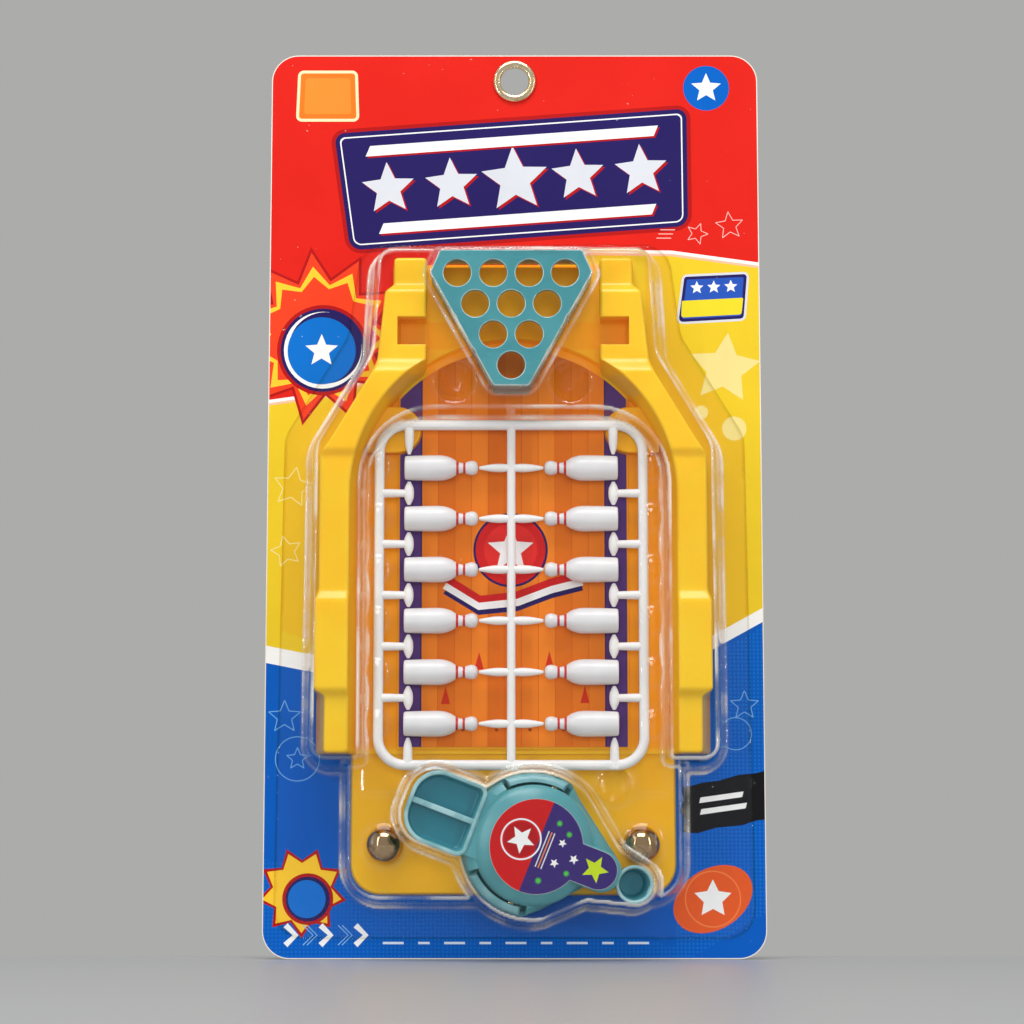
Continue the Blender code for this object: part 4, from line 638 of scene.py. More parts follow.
roll = [(0.00545 + 0.00115 * math.cos(math.radians(a)), 0.0003 + 0.0009 * math.sin(math.radians(a)))
        for a in range(0, 181, 12)]
barrel = [(0.0043, -0.0004), (0.0045, -0.00082), (0.0050, -0.0009), (0.0060, -0.0009), (0.0060, -0.0006),
          (0.0047, -0.0006), (0.0047, 0.0003)]
eyelet = turned("eyelet_ring", roll + barrel, 96, card_front, closed=True)
shaded(eyelet, 50)

tarnish, start, end = new_group(
    "metal handling", [("Clean", (0.8, 0.8, 0.8, 1.0)), ("Dull", (0.5, 0.5, 0.5, 1.0)), ("Scale", 300.0)],
    [("Color", "NodeSocketColor"), ("Rub", "NodeSocketFloat"), ("Height", "NodeSocketFloat")])
spot = put(tarnish, "ShaderNodeTexCoord").outputs["Object"]
cloud = put(tarnish, "ShaderNodeTexNoise", {
    "Vector": spot, "Scale": start.outputs["Scale"], "Detail": 5.0, "Roughness": 0.6}).outputs[0]
fine = noise(tarnish, spot, 3200.0)
share = ranged(tarnish, cloud, 0.42, 0.68)
tarnish.links.new(mixed(tarnish, share, start.outputs["Clean"], start.outputs["Dull"]), end.inputs["Color"])
tarnish.links.new(share, end.inputs["Rub"])
tarnish.links.new(fine, end.inputs["Height"])


def metal_finish(name, clean, dull, scale, roughness, spread, bump_size):
    """Bare metal, cleaner in some places than in others."""
    finish = bpy.data.materials.new(name)
    tree = emptied(finish)
    used = group_node(tree, tarnish, Clean=clean, Dull=dull, Scale=scale)
    gloss = ranged(tree, used.outputs["Rub"], 0.0, 1.0, roughness, roughness + spread)
    surfaced(tree, {
        "Base Color": used.outputs["Color"], "Metallic": 1.0, "Roughness": gloss,
        "Normal": bumped(tree, 0.15, bump_size, used.outputs["Height"])})
    return finish


eyelet.data.materials.append(
    metal_finish("rolled_brass", (0.95, 0.80, 0.54, 1), (0.66, 0.49, 0.25, 1), 420.0, 0.18, 0.22, 0.00004))
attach(eyelet, "pack")
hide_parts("eyelet")


# Alley tray: one yellow polystyrene moulding, hollow behind. Two long rims end in the posts that carry
# the rack, the lane is a low raised bed between gutters, and the foot deck has three ball seats.
def loft(name, sections, place=None):
    """Closed solid through sections with the same number of points (x, y, h)."""
    body = bmesh.new()
    rings = [[body.verts.new(point) for point in section] for section in sections]
    for first, last in zip(rings, rings[1:]):
        for index in range(len(first)):
            after = (index + 1) % len(first)
            body.faces.new((first[index], first[after], last[after], last[index]))
    body.faces.new(rings[0][::-1])
    body.faces.new(rings[-1])
    return made_solid(name, body, place)


def pad(name, shape, low, high, edge=0.0, draft=0.0, foot_edge=0.0, steps=4):
    """Solid on a plan, with a rounded upper edge. The plan is a function of how far it is moved out."""
    levels = []
    if foot_edge:
        for step in range(steps):
            angle = math.pi / 2 * step / steps
            drawn = foot_edge * (1 - math.sin(angle))
            levels.append((low + foot_edge * (1 - math.cos(angle)), draft - drawn))
    levels.append((low + foot_edge, draft))
    if edge:
        for step in range(steps + 1):
            angle = math.pi / 2 * step / steps
            levels.append((high - edge + edge * math.sin(angle), -edge * (1 - math.cos(angle))))
    else:
        levels.append((high, 0.0))
    return loft(name, [[(x, y, level) for x, y in shape(growth)] for level, growth in levels])


def combined(target, operation, *others):
    """Joins solids to the target, or cuts them out of it."""
    for other in others:
        step = target.modifiers.new("shape", "BOOLEAN")
        step.operation = operation
        step.solver = "MANIFOLD"
        step.object = other
        graph = bpy.context.evaluated_depsgraph_get()
        result = bpy.data.meshes.new_from_object(target.evaluated_get(graph))
        target.modifiers.clear()
        target.data = result
        bpy.data.objects.remove(other)
    target.data.materials.clear()
    return target


def welded(piece, distance=0.00002):
    """Drops the slivers that a cut leaves."""
    body = bmesh.new()
    body.from_mesh(piece.data)
    bmesh.ops.remove_doubles(body, verts=body.verts, dist=distance)
    bmesh.ops.dissolve_degenerate(body, edges=body.edges, dist=distance / 4)
    body.to_mesh(piece.data)
    body.free()
    return piece


tray_shift = -0.0004
arch_centre, arch_radius = -0.1311, 0.0485
ball_seats = ((0.0380, -0.2339), (-0.0380, -0.2339), (0.0300, -0.2161))
rim_rows = [
    (-0.0587, 0.0358, 0.0150), (-0.0670, 0.0358, 0.0150), (-0.0692, 0.0384, 0.0170),
    (-0.0900, 0.0406, 0.0170), (-0.0940, 0.0420, 0.0195), (-0.1148, 0.0546, 0.0195),
    (-0.1176, 0.0566, 0.0195), (-0.1190, 0.0575, 0.0182), (-0.1594, 0.0575, 0.0182),
    (-0.1624, 0.0586, 0.0200), (-0.1889, 0.0586, 0.0200), (-0.1903, 0.0557, 0.0176),
    (-0.2072, 0.0557, 0.0176)]


def rim_size(y, softness):
    """Outer half width and height of a rim at a place, eased over its steps."""
    places = [row[0] for row in rim_rows][::-1]
    found = []
    for column in (1, 2):
        sizes = [row[column] for row in rim_rows][::-1]
        samples = [np.interp(min(max(y + shift * softness, places[0]), places[-1]), places, sizes)
                   for shift in (-1.0, -0.6, -0.2, 0.2, 0.6, 1.0)]
        found.append(float(sum(samples) / len(samples)))
    return found


def rim_inner(y, radius):
    """Half width between the rims: the gap of the posts, the arch, then straight."""
    if y <= arch_centre:
        return radius
    return max(math.sqrt(max(radius**2 - (y - arch_centre) ** 2, 0)), 0.0260)


def long_rim(side):
    """One rim with rounded top edges and ends."""
    top, bottom, edge = -0.0587, -0.2072, 0.0010
    places = [top - 0.0001, bottom + 0.0001]
    places += [top - edge * (1 - math.cos(math.radians(a))) for a in (20, 45, 70, 90)]
    places += [bottom + edge * (1 - math.cos(math.radians(a))) for a in (20, 45, 70, 90)]
    places += list(np.linspace(top - edge - 0.0006, bottom + edge + 0.0006, 210))
    sections = []
    for y in sorted(places, reverse=True):
        outer, height = rim_size(y, 0.0007)
        near_end = max(edge - (top - y), edge - (y - bottom), 0.0)
        drawn_in = edge - math.sqrt(max(edge**2 - near_end**2, 0.0)) if near_end else 0.0
        foot = outer + 0.0010 if y > -0.1895 else 0.0591
        inner = rim_inner(y, arch_radius)
        inner_foot = rim_inner(y, arch_radius - 0.0024) if inner > 0.0261 else inner
        outer, foot, height = outer - drawn_in, foot - drawn_in, height - drawn_in
        inner, inner_foot = inner + drawn_in, inner_foot + drawn_in
        section = [(foot, 0.0003)]
        section += arc((outer - edge, height - edge), edge, 0, 90, 4)
        section += arc((inner + edge, height - edge), edge, 90, 180, 4)
        section += [(inner_foot, 0.0003)]
        sections.append([(side * x, y, h) for x, h in section])
    return loft("rim", sections)


def rim_hollow(side):
    """Room inside a rim, open behind."""
    wall = 0.0016
    rows = [-0.1240, -0.1594, -0.1640, -0.1873, -0.1903, -0.2056]
    sections = []
    for y in rows:
        outer, height = rim_size(y, 0.0001)
        section = [(outer - wall, -0.002), (outer - wall - 0.0010, height - wall),
                   (arch_radius + wall, height - wall), (arch_radius + wall, -0.002)]
        sections.append([(side * x, y, h) for x, h in section])
    return loft("rim_hollow", sections)


def lobe(side, growth=0.0):
    """Plan of a round-ended lobe that comes in from a gutter wall."""
    end_wall = arch_radius - 0.0070 + 0.0024
    middle_y, radius = -0.1100, 0.0070 + growth
    plan = arc((0.0348, middle_y), radius, 90, 270, 20)
    plan += [(end_wall, middle_y - radius), (end_wall, middle_y + radius)]
    return [(side * x, y) for x, y in plan]


def arched(half_width, radius, bottom):
    """Plan of the lane: an arched head and straight sides."""
    angle = math.degrees(math.acos(half_width / radius))
    head = arc((0, arch_centre), radius, angle, 180 - angle, 40)
    return head + [(-half_width, bottom), (half_width, bottom)]


def ledge_plan(growth):
    """Plan of the ledge that the rack stands on, with its curved front."""
    radius, half = arch_radius - growth, 0.0276
    angle = math.degrees(math.acos(half / radius))
    return arc((0, arch_centre), radius, 180 - angle, angle, 40) + [(half, -0.0603), (-half, -0.0603)]


slab_half = [(row[1] + 0.0010 - 0.0016, row[0], 0) for row in rim_rows[:-2]]
slab_half += [(0.0575, -0.1903, 0), (0.0575, -0.2072, 0)]
tray = pad("alley_tray_moulding", lambda growth: rounded(both_sides(slab_half), growth), 0.0003, 0.0038)
combined(tray, "UNION", long_rim(1), long_rim(-1))
bed = pad("bed", lambda growth: arched(0.0348 + growth, arch_radius, -0.2058), 0.0006, 0.0046, 0.0004)
combined(tray, "UNION", bed, pad("ledge", ledge_plan, 0.0003, 0.0080, 0.0006, 0.0008))
for side in (1, -1):
    combined(tray, "UNION", pad("lobe", lambda growth: lobe(side, growth), 0.0003, 0.0075, 0.0006))
foot_corners = both_sides([(0.0481, -0.2056, 0), (0.0481, -0.2484, 0.0085)])
foot = pad("foot", lambda growth: rounded(foot_corners, growth), 0.0003, 0.0030, 0.0007, 0.0005)
combined(tray, "UNION", foot)
combined(tray, "DIFFERENCE", rim_hollow(1), rim_hollow(-1))
for side in (1, -1):
    inside, outside = side * 0.0240, side * 0.0346
    corners = [(min(inside, outside), -0.0856, 0), (max(inside, outside), -0.0856, 0),
               (max(inside, outside), -0.0772, 0), (min(inside, outside), -0.0772, 0)]
    notch = []
    for h, growth in ((0.0090, -0.0006), (0.0096, 0.0), (0.0166, 0.0), (0.0169, 0.0001), (0.0172, 0.0006),
                      (0.0190, 0.0006)):
        notch.append([(x, y, h) for x, y in rounded(corners, growth)])
    combined(tray, "DIFFERENCE", loft("notch", notch))
seat_reach, seat_depth = 0.0052, 0.0020
seat_radius = (seat_reach**2 + seat_depth**2) / (2 * seat_depth)
sweep = math.asin(seat_reach / seat_radius)
for x, y in ball_seats:
    dish = [(seat_radius * math.sin(sweep * s / 8), 0.0010 + seat_radius * (1 - math.cos(sweep * s / 8)))
            for s in range(9)]
    dish += [(0.00545, 0.00305), (0.0060, 0.0036), (0, 0.0036)]
    combined(tray, "DIFFERENCE", turned("seat", dish, 48, Matrix.Translation((x, y, 0))))
tray.matrix_world = card_front @ Matrix.Translation((tray_shift, 0, 0))
shaded(welded(tray))

moulding, start, end = new_group(
    "moulded plastic", [("Light", (0.8, 0.8, 0.8, 1.0)), ("Deep", (0.5, 0.5, 0.5, 1.0)), ("Flow", 45.0)],
    [("Color", "NodeSocketColor"), ("Rub", "NodeSocketFloat"), ("Height", "NodeSocketFloat")])
spot = put(moulding, "ShaderNodeTexCoord").outputs["Object"]
flow = put(moulding, "ShaderNodeTexNoise", {
    "Vector": spot, "Scale": start.outputs["Flow"], "Detail": 3.0, "Distortion": 0.8}).outputs[0]
grain = noise(moulding, spot, 2400.0, 3.0)
stretch = put(moulding, "ShaderNodeMapping", {
    "Vector": spot, "Rotation": (0.3, 0.2, 0.7), "Scale": (1.0, 6.0, 1.0)})
scuff = noise(moulding, stretch.outputs[0], 170.0, 4.0)
share = ranged(moulding, flow, 0.30, 0.70)
moulding.links.new(mixed(moulding, share, start.outputs["Light"], start.outputs["Deep"]), end.inputs["Color"])
moulding.links.new(ranged(moulding, scuff, 0.58, 0.78), end.inputs["Rub"])
moulding.links.new(grain, end.inputs["Height"])


def plastic_finish(name, light, deep, flow_scale, roughness, grain_size, painted_light_layers=(), scatter=0.0,
                   reach=0.0010, shine=0.30, glow=(0, 0, 0, 1), painted_glow_mask=None):
    """Moulded plastic with flow marks, fine grain and light scuffs. Each painted layer is a colour and
    the mask of where it shows: painted shade in a hollow or a painted highlight on an edge. Light
    scatters in it up to its reach, and a glow mask paints in emission, a painted glow through a thin wall."""
    finish = bpy.data.materials.new(name)
    tree = emptied(finish)
    used = group_node(tree, moulding, Light=light, Deep=deep, Flow=flow_scale)
    colour = used.outputs["Color"]
    for shade, mask in painted_light_layers:
        colour = mixed(tree, mask(tree), colour, shade)
    gloss = ranged(tree, used.outputs["Rub"], 0.0, 1.0, roughness, roughness + 0.04)
    surfaced(tree, {
        "Base Color": colour, "Roughness": gloss, "Specular IOR Level": shine,
        "Normal": bumped(tree, 0.12, grain_size, used.outputs["Height"]), "Subsurface Weight": scatter,
        "Subsurface Radius": (1.0, 0.6, 0.2), "Subsurface Scale": reach,
        "Emission Color": mixed(tree, painted_glow_mask(tree), (0, 0, 0, 1), glow) if painted_glow_mask else glow,
        "Emission Strength": 1.0 if painted_glow_mask else 0.0})
    return finish


def tray_painted_shade(tree):
    """Mask of painted shade, a deeper orange where shade falls: the well between the rims, the notches in the
    posts and, more faintly, the foot deck.
    """
    parts = place_on(tree)[1]
    below = ranged(tree, parts["Y"], -0.1020, -0.0960, 1.0, 0.0)
    between = ranged(tree, sums(tree, "ABSOLUTE", parts["X"]), 0.0262, 0.0266, 1.0, 0.0)
    well = product(tree, ranged(tree, parts["Z"], 0.0030, 0.0130, 1.0, 0.0),
                   ranged(tree, parts["Y"], -0.2070, -0.2045), sums(tree, "MAXIMUM", below, between))
    beside = sums(tree, "ABSOLUTE", sums(tree, "ADD", parts["Y"], 0.0814))
    notch = product(tree, ranged(tree, parts["Z"], 0.0120, 0.0168, 1.0, 0.0),
                    ranged(tree, beside, 0.0041, 0.0044, 1.0, 0.0))
    deck = product(tree, ranged(tree, parts["Y"], -0.2056, -0.2050, 0.35, 0.0),
                   ranged(tree, parts["Z"], 0.0030, 0.0040, 1.0, 0.0))
    return sums(tree, "MAXIMUM", deck, sums(tree, "MAXIMUM", well, notch))


def well_painted_glow(tree):
    """Mask of the tray's floor behind the lane, about the rack, where a glow is painted in as emission:
    painted light brightening the shaded well.
    """
    parts = place_on(tree)[1]
    between = ranged(tree, sums(tree, "ABSOLUTE", parts["X"]), 0.0262, 0.0266, 1.0, 0.0)
    behind = ranged(tree, parts["Y"], -0.1020, -0.0960)
    low = ranged(tree, parts["Z"], 0.0060, 0.0130, 1.0, 0.0)
    return product(tree, low, between, behind)


# The tray's well, notches and deck are painted a deeper orange as painted shade, and the well about the rack
# has a painted glow.
yellow_plastic = plastic_finish(
    "yellow_plastic", screen(255, 203, 38), screen(254, 192, 28), 40.0, 0.23, 0.00003,
    [(screen(254, 166, 0), tray_painted_shade)], 0.35, 0.0040, 0.42, (0.16, 0.045, 0.0, 1.0), well_painted_glow)
tray.data.materials.append(yellow_plastic)
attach(tray, "alley")
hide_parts("alley_tray")


# Lane sheet: thin coated paper glued on the lane bed, orange boards with purple borders, red aiming
# marks and a plain crest in the middle.
lane_orange = screen(240, 134, 40)
lane_dark = screen(222, 112, 28)
lane_purple = screen(86, 56, 124)
lane_inks = [([(-0.04, -0.08), (-0.04, -0.21), (0.04, -0.21), (0.04, -0.08)], lane_purple, 0.0)]
boards = 11
boards_half_width = 0.0276
board_width = 2 * boards_half_width / boards
for index in range(boards):
    x = -boards_half_width + (index + 0.5) * board_width
    tone = Vector(lane_orange).lerp(Vector(lane_dark), (index * 5 % 7) / 6)
    paint(lane_inks, tuple(tone), slab(x, -0.15, board_width, 0.13))
    if index:
        edge = x - board_width / 2
        paint(lane_inks, screen(206, 96, 22), slab(edge, -0.15, 0.00018, 0.13))
for x in (-boards_half_width, boards_half_width):
    paint(lane_inks, screen(60, 36, 92), slab(x, -0.15, 0.0004, 0.13))
for x, y in ((-0.0102, -0.1795), (0.0108, -0.1792), (-0.0202, -0.1898), (0.0214, -0.1895)):
    arrow = [(x - 0.0014, y - 0.0026), (x + 0.0014, y - 0.0026), (x, y + 0.0027)]
    paint(lane_inks, screen(205, 50, 26), arrow)
for index in range(4):
    x = (index - 1.5) * 0.0100
    paint(lane_inks, screen(150, 60, 20), circle((x, -0.2000), 0.0005, 16))
crest = (-0.0008, -0.1462)
crest_red = screen(205, 32, 34)
for radius, ink in ((0.0112, navy), (0.0105, crest_red), (0.0080, screen(224, 48, 44))):
    paint(lane_inks, ink, circle(crest, radius))
paint(lane_inks, white, star(crest, 0.0072))
swoop = [(-0.0200, -0.1560), (-0.0100, -0.1622), (0.0010, -0.1610), (0.0110, -0.1572), (0.0205, -0.1548)]
for shift, width, ink in ((-0.0018, 0.0036, navy), (0.0, 0.0042, white), (0.0012, 0.0022, crest_red)):
    paint(lane_inks, ink, stroke([(x, y + shift) for x, y in swoop], width))
sheet_plan = arched(0.0341, arch_radius - 0.0026, -0.2051)
lane = printed_sheet(
    "lane_print_sheet", sheet_plan, sheet_plan, [lobe(1, 0.0003), lobe(-1, 0.0003)], lane_inks,
    0.0049, 0.0051, card_front @ Matrix.Translation((tray_shift, 0, 0)))
lane.data.materials.append(print_finish("lane_print", lane_orange, 0.0010, 0.30, 0.3, 0.0))
lane.data.materials.append(bare_board("lane_paper_edge", screen(230, 222, 204), 0.6))
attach(lane, "alley")
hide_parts("lane_sheet")


# Sprue frame: the white runner system that the pins were moulded on, a round-cornered loop with a
# spine, a swelling runner to each pin's head and spindle gates between the pins' bases.
sprue_middle = -0.0010
pin_axis = 0.00925
pin_rows = [-0.1219 - 0.0153 * row for row in range(6)]


def rod(start, end, radii, sides=14):
    """Round bar between two points, with its radius at even steps along it."""
    start, end = Vector(start), Vector(end)
    along = (end - start).normalized()
    side = along.cross(Vector((0, 0, 1))).normalized()
    sections = []
    for index, radius in enumerate(radii):
        centre = start.lerp(end, index / (len(radii) - 1))
        ring = []
        for step in range(sides):
            angle = 2 * math.pi * (step + 0.5) / sides
            ring.append(centre + side * (radius * math.cos(angle)) + Vector((0, 0, radius * math.sin(angle))))
        sections.append(ring)
    return loft("rod", sections)


def loop_tube(outline, radius, sides=14):
    """Closed round tube along an outline."""
    centres = [Vector(point) for point in outline]
    body = bmesh.new()
    rings = []
    for index, centre in enumerate(centres):
        before = (centre - centres[index - 1]).normalized()
        after = (centres[(index + 1) % len(centres)] - centre).normalized()
        along = (before + after).normalized()
        across = Vector((along.y, -along.x))
        ring = []
        for step in range(sides):
            angle = 2 * math.pi * (step + 0.5) / sides
            place = centre + across * (radius * math.cos(angle))
            ring.append(body.verts.new((place.x, place.y, radius * math.sin(angle))))
        rings.append(ring)
    for first, last in zip(rings, rings[1:] + rings[:1]):
        for step in range(sides):
            after = (step + 1) % sides
            body.faces.new((first[step], first[after], last[after], last[step]))
    return made_solid("loop", body)


loop_top, loop_bottom, loop_half_width = -0.1089, -0.2106, 0.0395
gate_x = 0.0306
pin_clear = 0.00415
loop_corners = both_sides([(loop_half_width, loop_top, 0.0082), (loop_half_width, loop_bottom, 0.0082)])
sprue = loop_tube(rounded(loop_corners, 0, 12), 0.00155)
sprue.name = "sprue_frame"
combined(sprue, "UNION", rod((0, loop_top, 0), (0, loop_bottom, 0), [0.0013, 0.0013]))
swell = [0.0010, 0.00115, 0.0013, 0.0013, 0.0012, 0.0010, 0.00075, 0.00045]
spindle = [0.00045, 0.0010, 0.0014, 0.0015, 0.0015, 0.0014, 0.0010, 0.00045]
for y in pin_rows:
    for side in (-1, 1):
        combined(sprue, "UNION", rod((0, y, 0), (side * 0.0096, y, 0), swell))
for upper, lower_row in zip(pin_rows, pin_rows[1:]):
    middle_row = (upper + lower_row) / 2
    for side in (-1, 1):
        ends = (side * gate_x, upper - pin_clear, 0), (side * gate_x, lower_row + pin_clear, 0)
        combined(sprue, "UNION", rod(*ends, spindle))
        stub = (side * loop_half_width, middle_row, 0), (side * gate_x, middle_row, 0)
        combined(sprue, "UNION", rod(*stub, [0.0013, 0.0013, 0.0012, 0.0011]))
for side in (-1, 1):
    for start_row, end_row in ((loop_top, pin_rows[0] + pin_clear), (loop_bottom, pin_rows[-1] - pin_clear)):
        ends = (side * gate_x, start_row, 0), (side * gate_x, end_row, 0)
        combined(sprue, "UNION", rod(*ends, [0.0014, 0.00145, 0.0014, 0.0014, 0.0013, 0.0010, 0.00045]))
sprue.matrix_world = card_front @ Matrix.Translation((sprue_middle, 0, pin_axis))
shaded(sprue, 40)
sprue.data.materials.append(plastic_finish(
    "sprue_plastic", screen(238, 237, 235), screen(231, 230, 228), 60.0, 0.34, 0.00003, scatter=0.15))
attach(sprue, "pin_frame")
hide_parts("sprue")


# Pins: twelve white turned-shape mouldings, 22 mm tall, each with two red lines printed round its neck.
# They lie in two columns with their heads to the middle.
curve = [(0.0, 0.0), (0.0030, 0.0), (0.0034, 0.00012), (0.0036, 0.0005), (0.00372, 0.0030), (0.00380, 0.0060),
         (0.00385, 0.0090), (0.00384, 0.0106), (0.00372, 0.0118), (0.00345, 0.0129), (0.00305, 0.0140),
         (0.00250, 0.0149), (0.00200, 0.0156), (0.00172, 0.0163), (0.00158, 0.0170), (0.00155, 0.0174),
         (0.00160, 0.0179), (0.00176, 0.0184), (0.00198, 0.0190), (0.00215, 0.0196), (0.00220, 0.0200),
         (0.00214, 0.0206), (0.00192, 0.0212), (0.00150, 0.0217), (0.00085, 0.0219), (0.0, 0.0220)]
pin_finish = bpy.data.materials.new("white_plastic")
tree = emptied(pin_finish)
used = group_node(tree, moulding, Light=screen(227, 226, 226), Deep=screen(220, 219, 219), Flow=90.0)
along = place_on(tree)[1]["X"]
bands = None
for centre in (0.0158, 0.01785):
    distance = sums(tree, "ABSOLUTE", sums(tree, "SUBTRACT", along, centre))
    band = ranged(tree, distance, 0.00033, 0.00040, 1.0, 0.0)
    bands = band if bands is None else sums(tree, "MAXIMUM", bands, band)
colour = mixed(tree, bands, used.outputs["Color"], screen(200, 38, 44))
gloss = ranged(tree, used.outputs["Rub"], 0.0, 1.0, 0.30, 0.42)
surfaced(tree, {
    "Base Color": colour, "Roughness": gloss, "Subsurface Weight": 0.15,
    "Normal": bumped(tree, 0.1, 0.00003, used.outputs["Height"]),
    "Subsurface Radius": (0.0010, 0.0008, 0.0006), "Subsurface Scale": 1.0})
for row, y in enumerate(pin_rows):
    for column, side in enumerate((-1, 1)):
        node = f"pin_{2 * row + column + 1:02d}"
        place = Matrix.Translation((sprue_middle + side * 0.0319, y, pin_axis))
        turn = Matrix.Rotation(0 if side < 0 else math.pi, 4, "Z")
        pin = turned(node + "_turned", curve, 48, card_front @ place @ turn, axis="x")
        shaded(pin, 50)
        pin.data.materials.append(pin_finish)
        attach(pin, "pin_frame")
        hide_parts(node)


# Rack: teal moulding that spots the ten pins, a plate with rounded holes on a deep skirt. It stands on
# the tray's ledge, between the posts.
rack_widest, rack_shoulder_y, rack_tip, rack_tip_y = 0.0242, -0.0650, 0.0053, -0.0992
rack_top, hole_radius, hole_pitch = 0.0235, 0.0041, 0.0107
slope = (rack_widest - rack_tip) / (rack_shoulder_y - rack_tip_y)
rack_half = [(0.0212, -0.0581, 0.0012), (rack_widest, rack_shoulder_y, 0.0012)]
for y in (-0.0774, -0.0877):
    edge = rack_widest - slope * (rack_shoulder_y - y)
    rack_half += [(edge, y, 0.0003), (edge - 0.0008, y - 0.0008, 0.0003), (edge - 0.0014, y - 0.0024, 0.0003)]
rack_half.append((rack_tip, rack_tip_y, 0.0010))
rack_corners = both_sides(rack_half)
rack = pad("pin_rack_plate", lambda growth: rounded(rack_corners, growth, 5), 0.0083, rack_top, 0.0005)
inner = pad("inside", lambda growth: rounded(rack_corners, growth - 0.0014, 5), 0.0060, 0.0215)
combined(rack, "DIFFERENCE", inner)
rack_holes = []
for row in range(4):
    for index in range(4 - row):
        hole_y = -0.0652 - row * hole_pitch * math.sqrt(3) / 2
        rack_holes.append(((index - (3 - row) / 2) * hole_pitch, hole_y))
for x, y in rack_holes:
    edge = 0.0004
    profile = [(0, 0.0190), (hole_radius, 0.0190), (hole_radius, rack_top - edge)]
    for angle in (22, 45, 68, 88):
        along, up = edge * math.cos(math.radians(angle)), edge * math.sin(math.radians(angle))
        profile.append((hole_radius + edge - along, rack_top - edge + up))
    profile += [(hole_radius + edge, 0.0245), (0, 0.0245)]
    combined(rack, "DIFFERENCE", turned("hole", profile, 48, Matrix.Translation((x, y, 0))))
rack.matrix_world = card_front @ Matrix.Translation((-0.0010, 0, 0))
shaded(welded(rack))


def rack_edge_painted_highlight(tree):
    """Mask of the rounded edges of the plate and its holes, painted pale: a painted highlight."""
    spot, parts = place_on(tree)
    return product(tree, ranged(tree, parts["Z"], 0.02305, 0.02320),
                   ranged(tree, parts["Z"], 0.02345, 0.02349, 1.0, 0.0),
                   ranged(tree, noise(tree, spot, 260.0), 0.30, 0.60, 0.35, 0.90))


teal, deep_teal, highlight_teal_paint = screen(76, 148, 155), screen(64, 137, 146), screen(196, 226, 222)
# The rack's rounded edges are painted pale as a painted highlight.
rack.data.materials.append(
    plastic_finish("teal_rack", teal, deep_teal, 55.0, 0.27, 0.00003, [(highlight_teal_paint, rack_edge_painted_highlight)]))
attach(rack, "rack")
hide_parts("pin_rack")


# Balls: two hardened steel bearing balls, 11 mm, lapped to a mirror. Handling has left them faintly
# smeared.
ball_radius = 0.0055
# The steel's amber-brown colour is painted reflection, standing in for the yellow tray and dark room seen in
# the mirror balls.
steel_with_painted_reflection = metal_finish("steel", (0.55, 0.38, 0.21, 1), (0.38, 0.24, 0.11, 1), 260.0, 0.05, 0.07, 0.00001)
lapped = [(ball_radius * math.sin(math.pi * step / 32), -ball_radius * math.cos(math.pi * step / 32))
          for step in range(33)]
lapped[0], lapped[-1] = (0, -ball_radius), (0, ball_radius)
for node, (x, y) in (("ball_left", ball_seats[1]), ("ball_right", ball_seats[0])):
    place = card_front @ Matrix.Translation((tray_shift + x, y, 0.0068))
    ball = turned(node + "_steel", lapped, 64, place)
    shaded(ball, 60)
    ball.data.materials.append(steel_with_painted_reflection)
    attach(ball, "balls")
    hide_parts(node)


# Launcher base: teal moulding that stands on the foot deck. A round floor in a low wall, drawn in under
# the arm's neck, and two raised cheeks that hold the axle.
launcher_x, launcher_y, launcher_turn = 0.0053, -0.2340, math.radians(-21.0)
axle_height = 0.0105
launcher_seat = card_front @ Matrix.Translation((launcher_x, launcher_y, 0.0033))
launcher_seat = launcher_seat @ Matrix.Rotation(launcher_turn, 4, "Z")
axle_place = Matrix.Translation((0, 0, axle_height))
neck_corners = [(0.0089, -0.0170), (0.0183, -0.0064), (0.0245, 0.0055), (0.0089, 0.0170)]


def neck_line(growth):
    """The base's straight sides under the neck, moved out from its middle."""
    return [tuple(Vector(point) + Vector(point).normalized() * growth) for point in neck_corners]


def base_plan(growth):
    """Plan of the base, round towards the paddle."""
    return arc((0, 0), 0.0214 + growth, 78, 282, 64) + neck_line(growth)


def cheek(side):
    """Raised sector of the wall, with rounded upper edges."""
    levels = [(0.0010, 0.0), (0.0107, 0.0)]
    levels += [(0.0107 + 0.0028 * math.sin(math.radians(a)), 1 - math.cos(math.radians(a)))
               for a in (12, 24, 36, 48, 60, 72, 82)]
    sections = []
    for level, drawn in levels:
        start, end = side * (80 + 4 * drawn), side * (134 - 4 * drawn)
        outer = arc((0, 0), 0.0210 - 0.0024 * drawn, start, end, 16)
        inner = arc((0, 0), 0.0181 + 0.0003 * drawn, end, start, 16)
        sections.append([(x, y, level) for x, y in outer + inner])
    return loft("cheek", sections)


base = pad("launcher_base_moulding", base_plan, 0, 0.0042, 0.0005)
combined(base, "DIFFERENCE", pad("inside", lambda growth: base_plan(growth - 0.0016), 0.0020, 0.0060))
combined(base, "UNION", cheek(1), cheek(-1))
bore = [(0, -0.024), (0.0018, -0.024), (0.0018, 0.024), (0, 0.024)]
combined(base, "DIFFERENCE", turned("bore", bore, 32, axle_place, axis="y"))
base.matrix_world = launcher_seat
shaded(welded(base))


def cheek_painted_highlight(tree):
    """Mask of the rounded tops of the cheeks, painted pale: a painted highlight."""
    spot, parts = place_on(tree)
    crown = ranged(tree, parts["Z"], 0.0106, 0.0135)
    return product(tree, crown, ranged(tree, noise(tree, spot, 160.0), 0.30, 0.65, 0.25, 0.55))


# The cheeks' rounded tops are painted pale as a painted highlight.
base.data.materials.append(plastic_finish(
    "teal_plastic", screen(92, 162, 168), screen(78, 150, 158), 55.0, 0.30, 0.00003,
    [(screen(164, 204, 210), cheek_painted_highlight)], 0.20, 0.0020, 0.55))
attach(base, "launcher")
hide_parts("launcher_base")


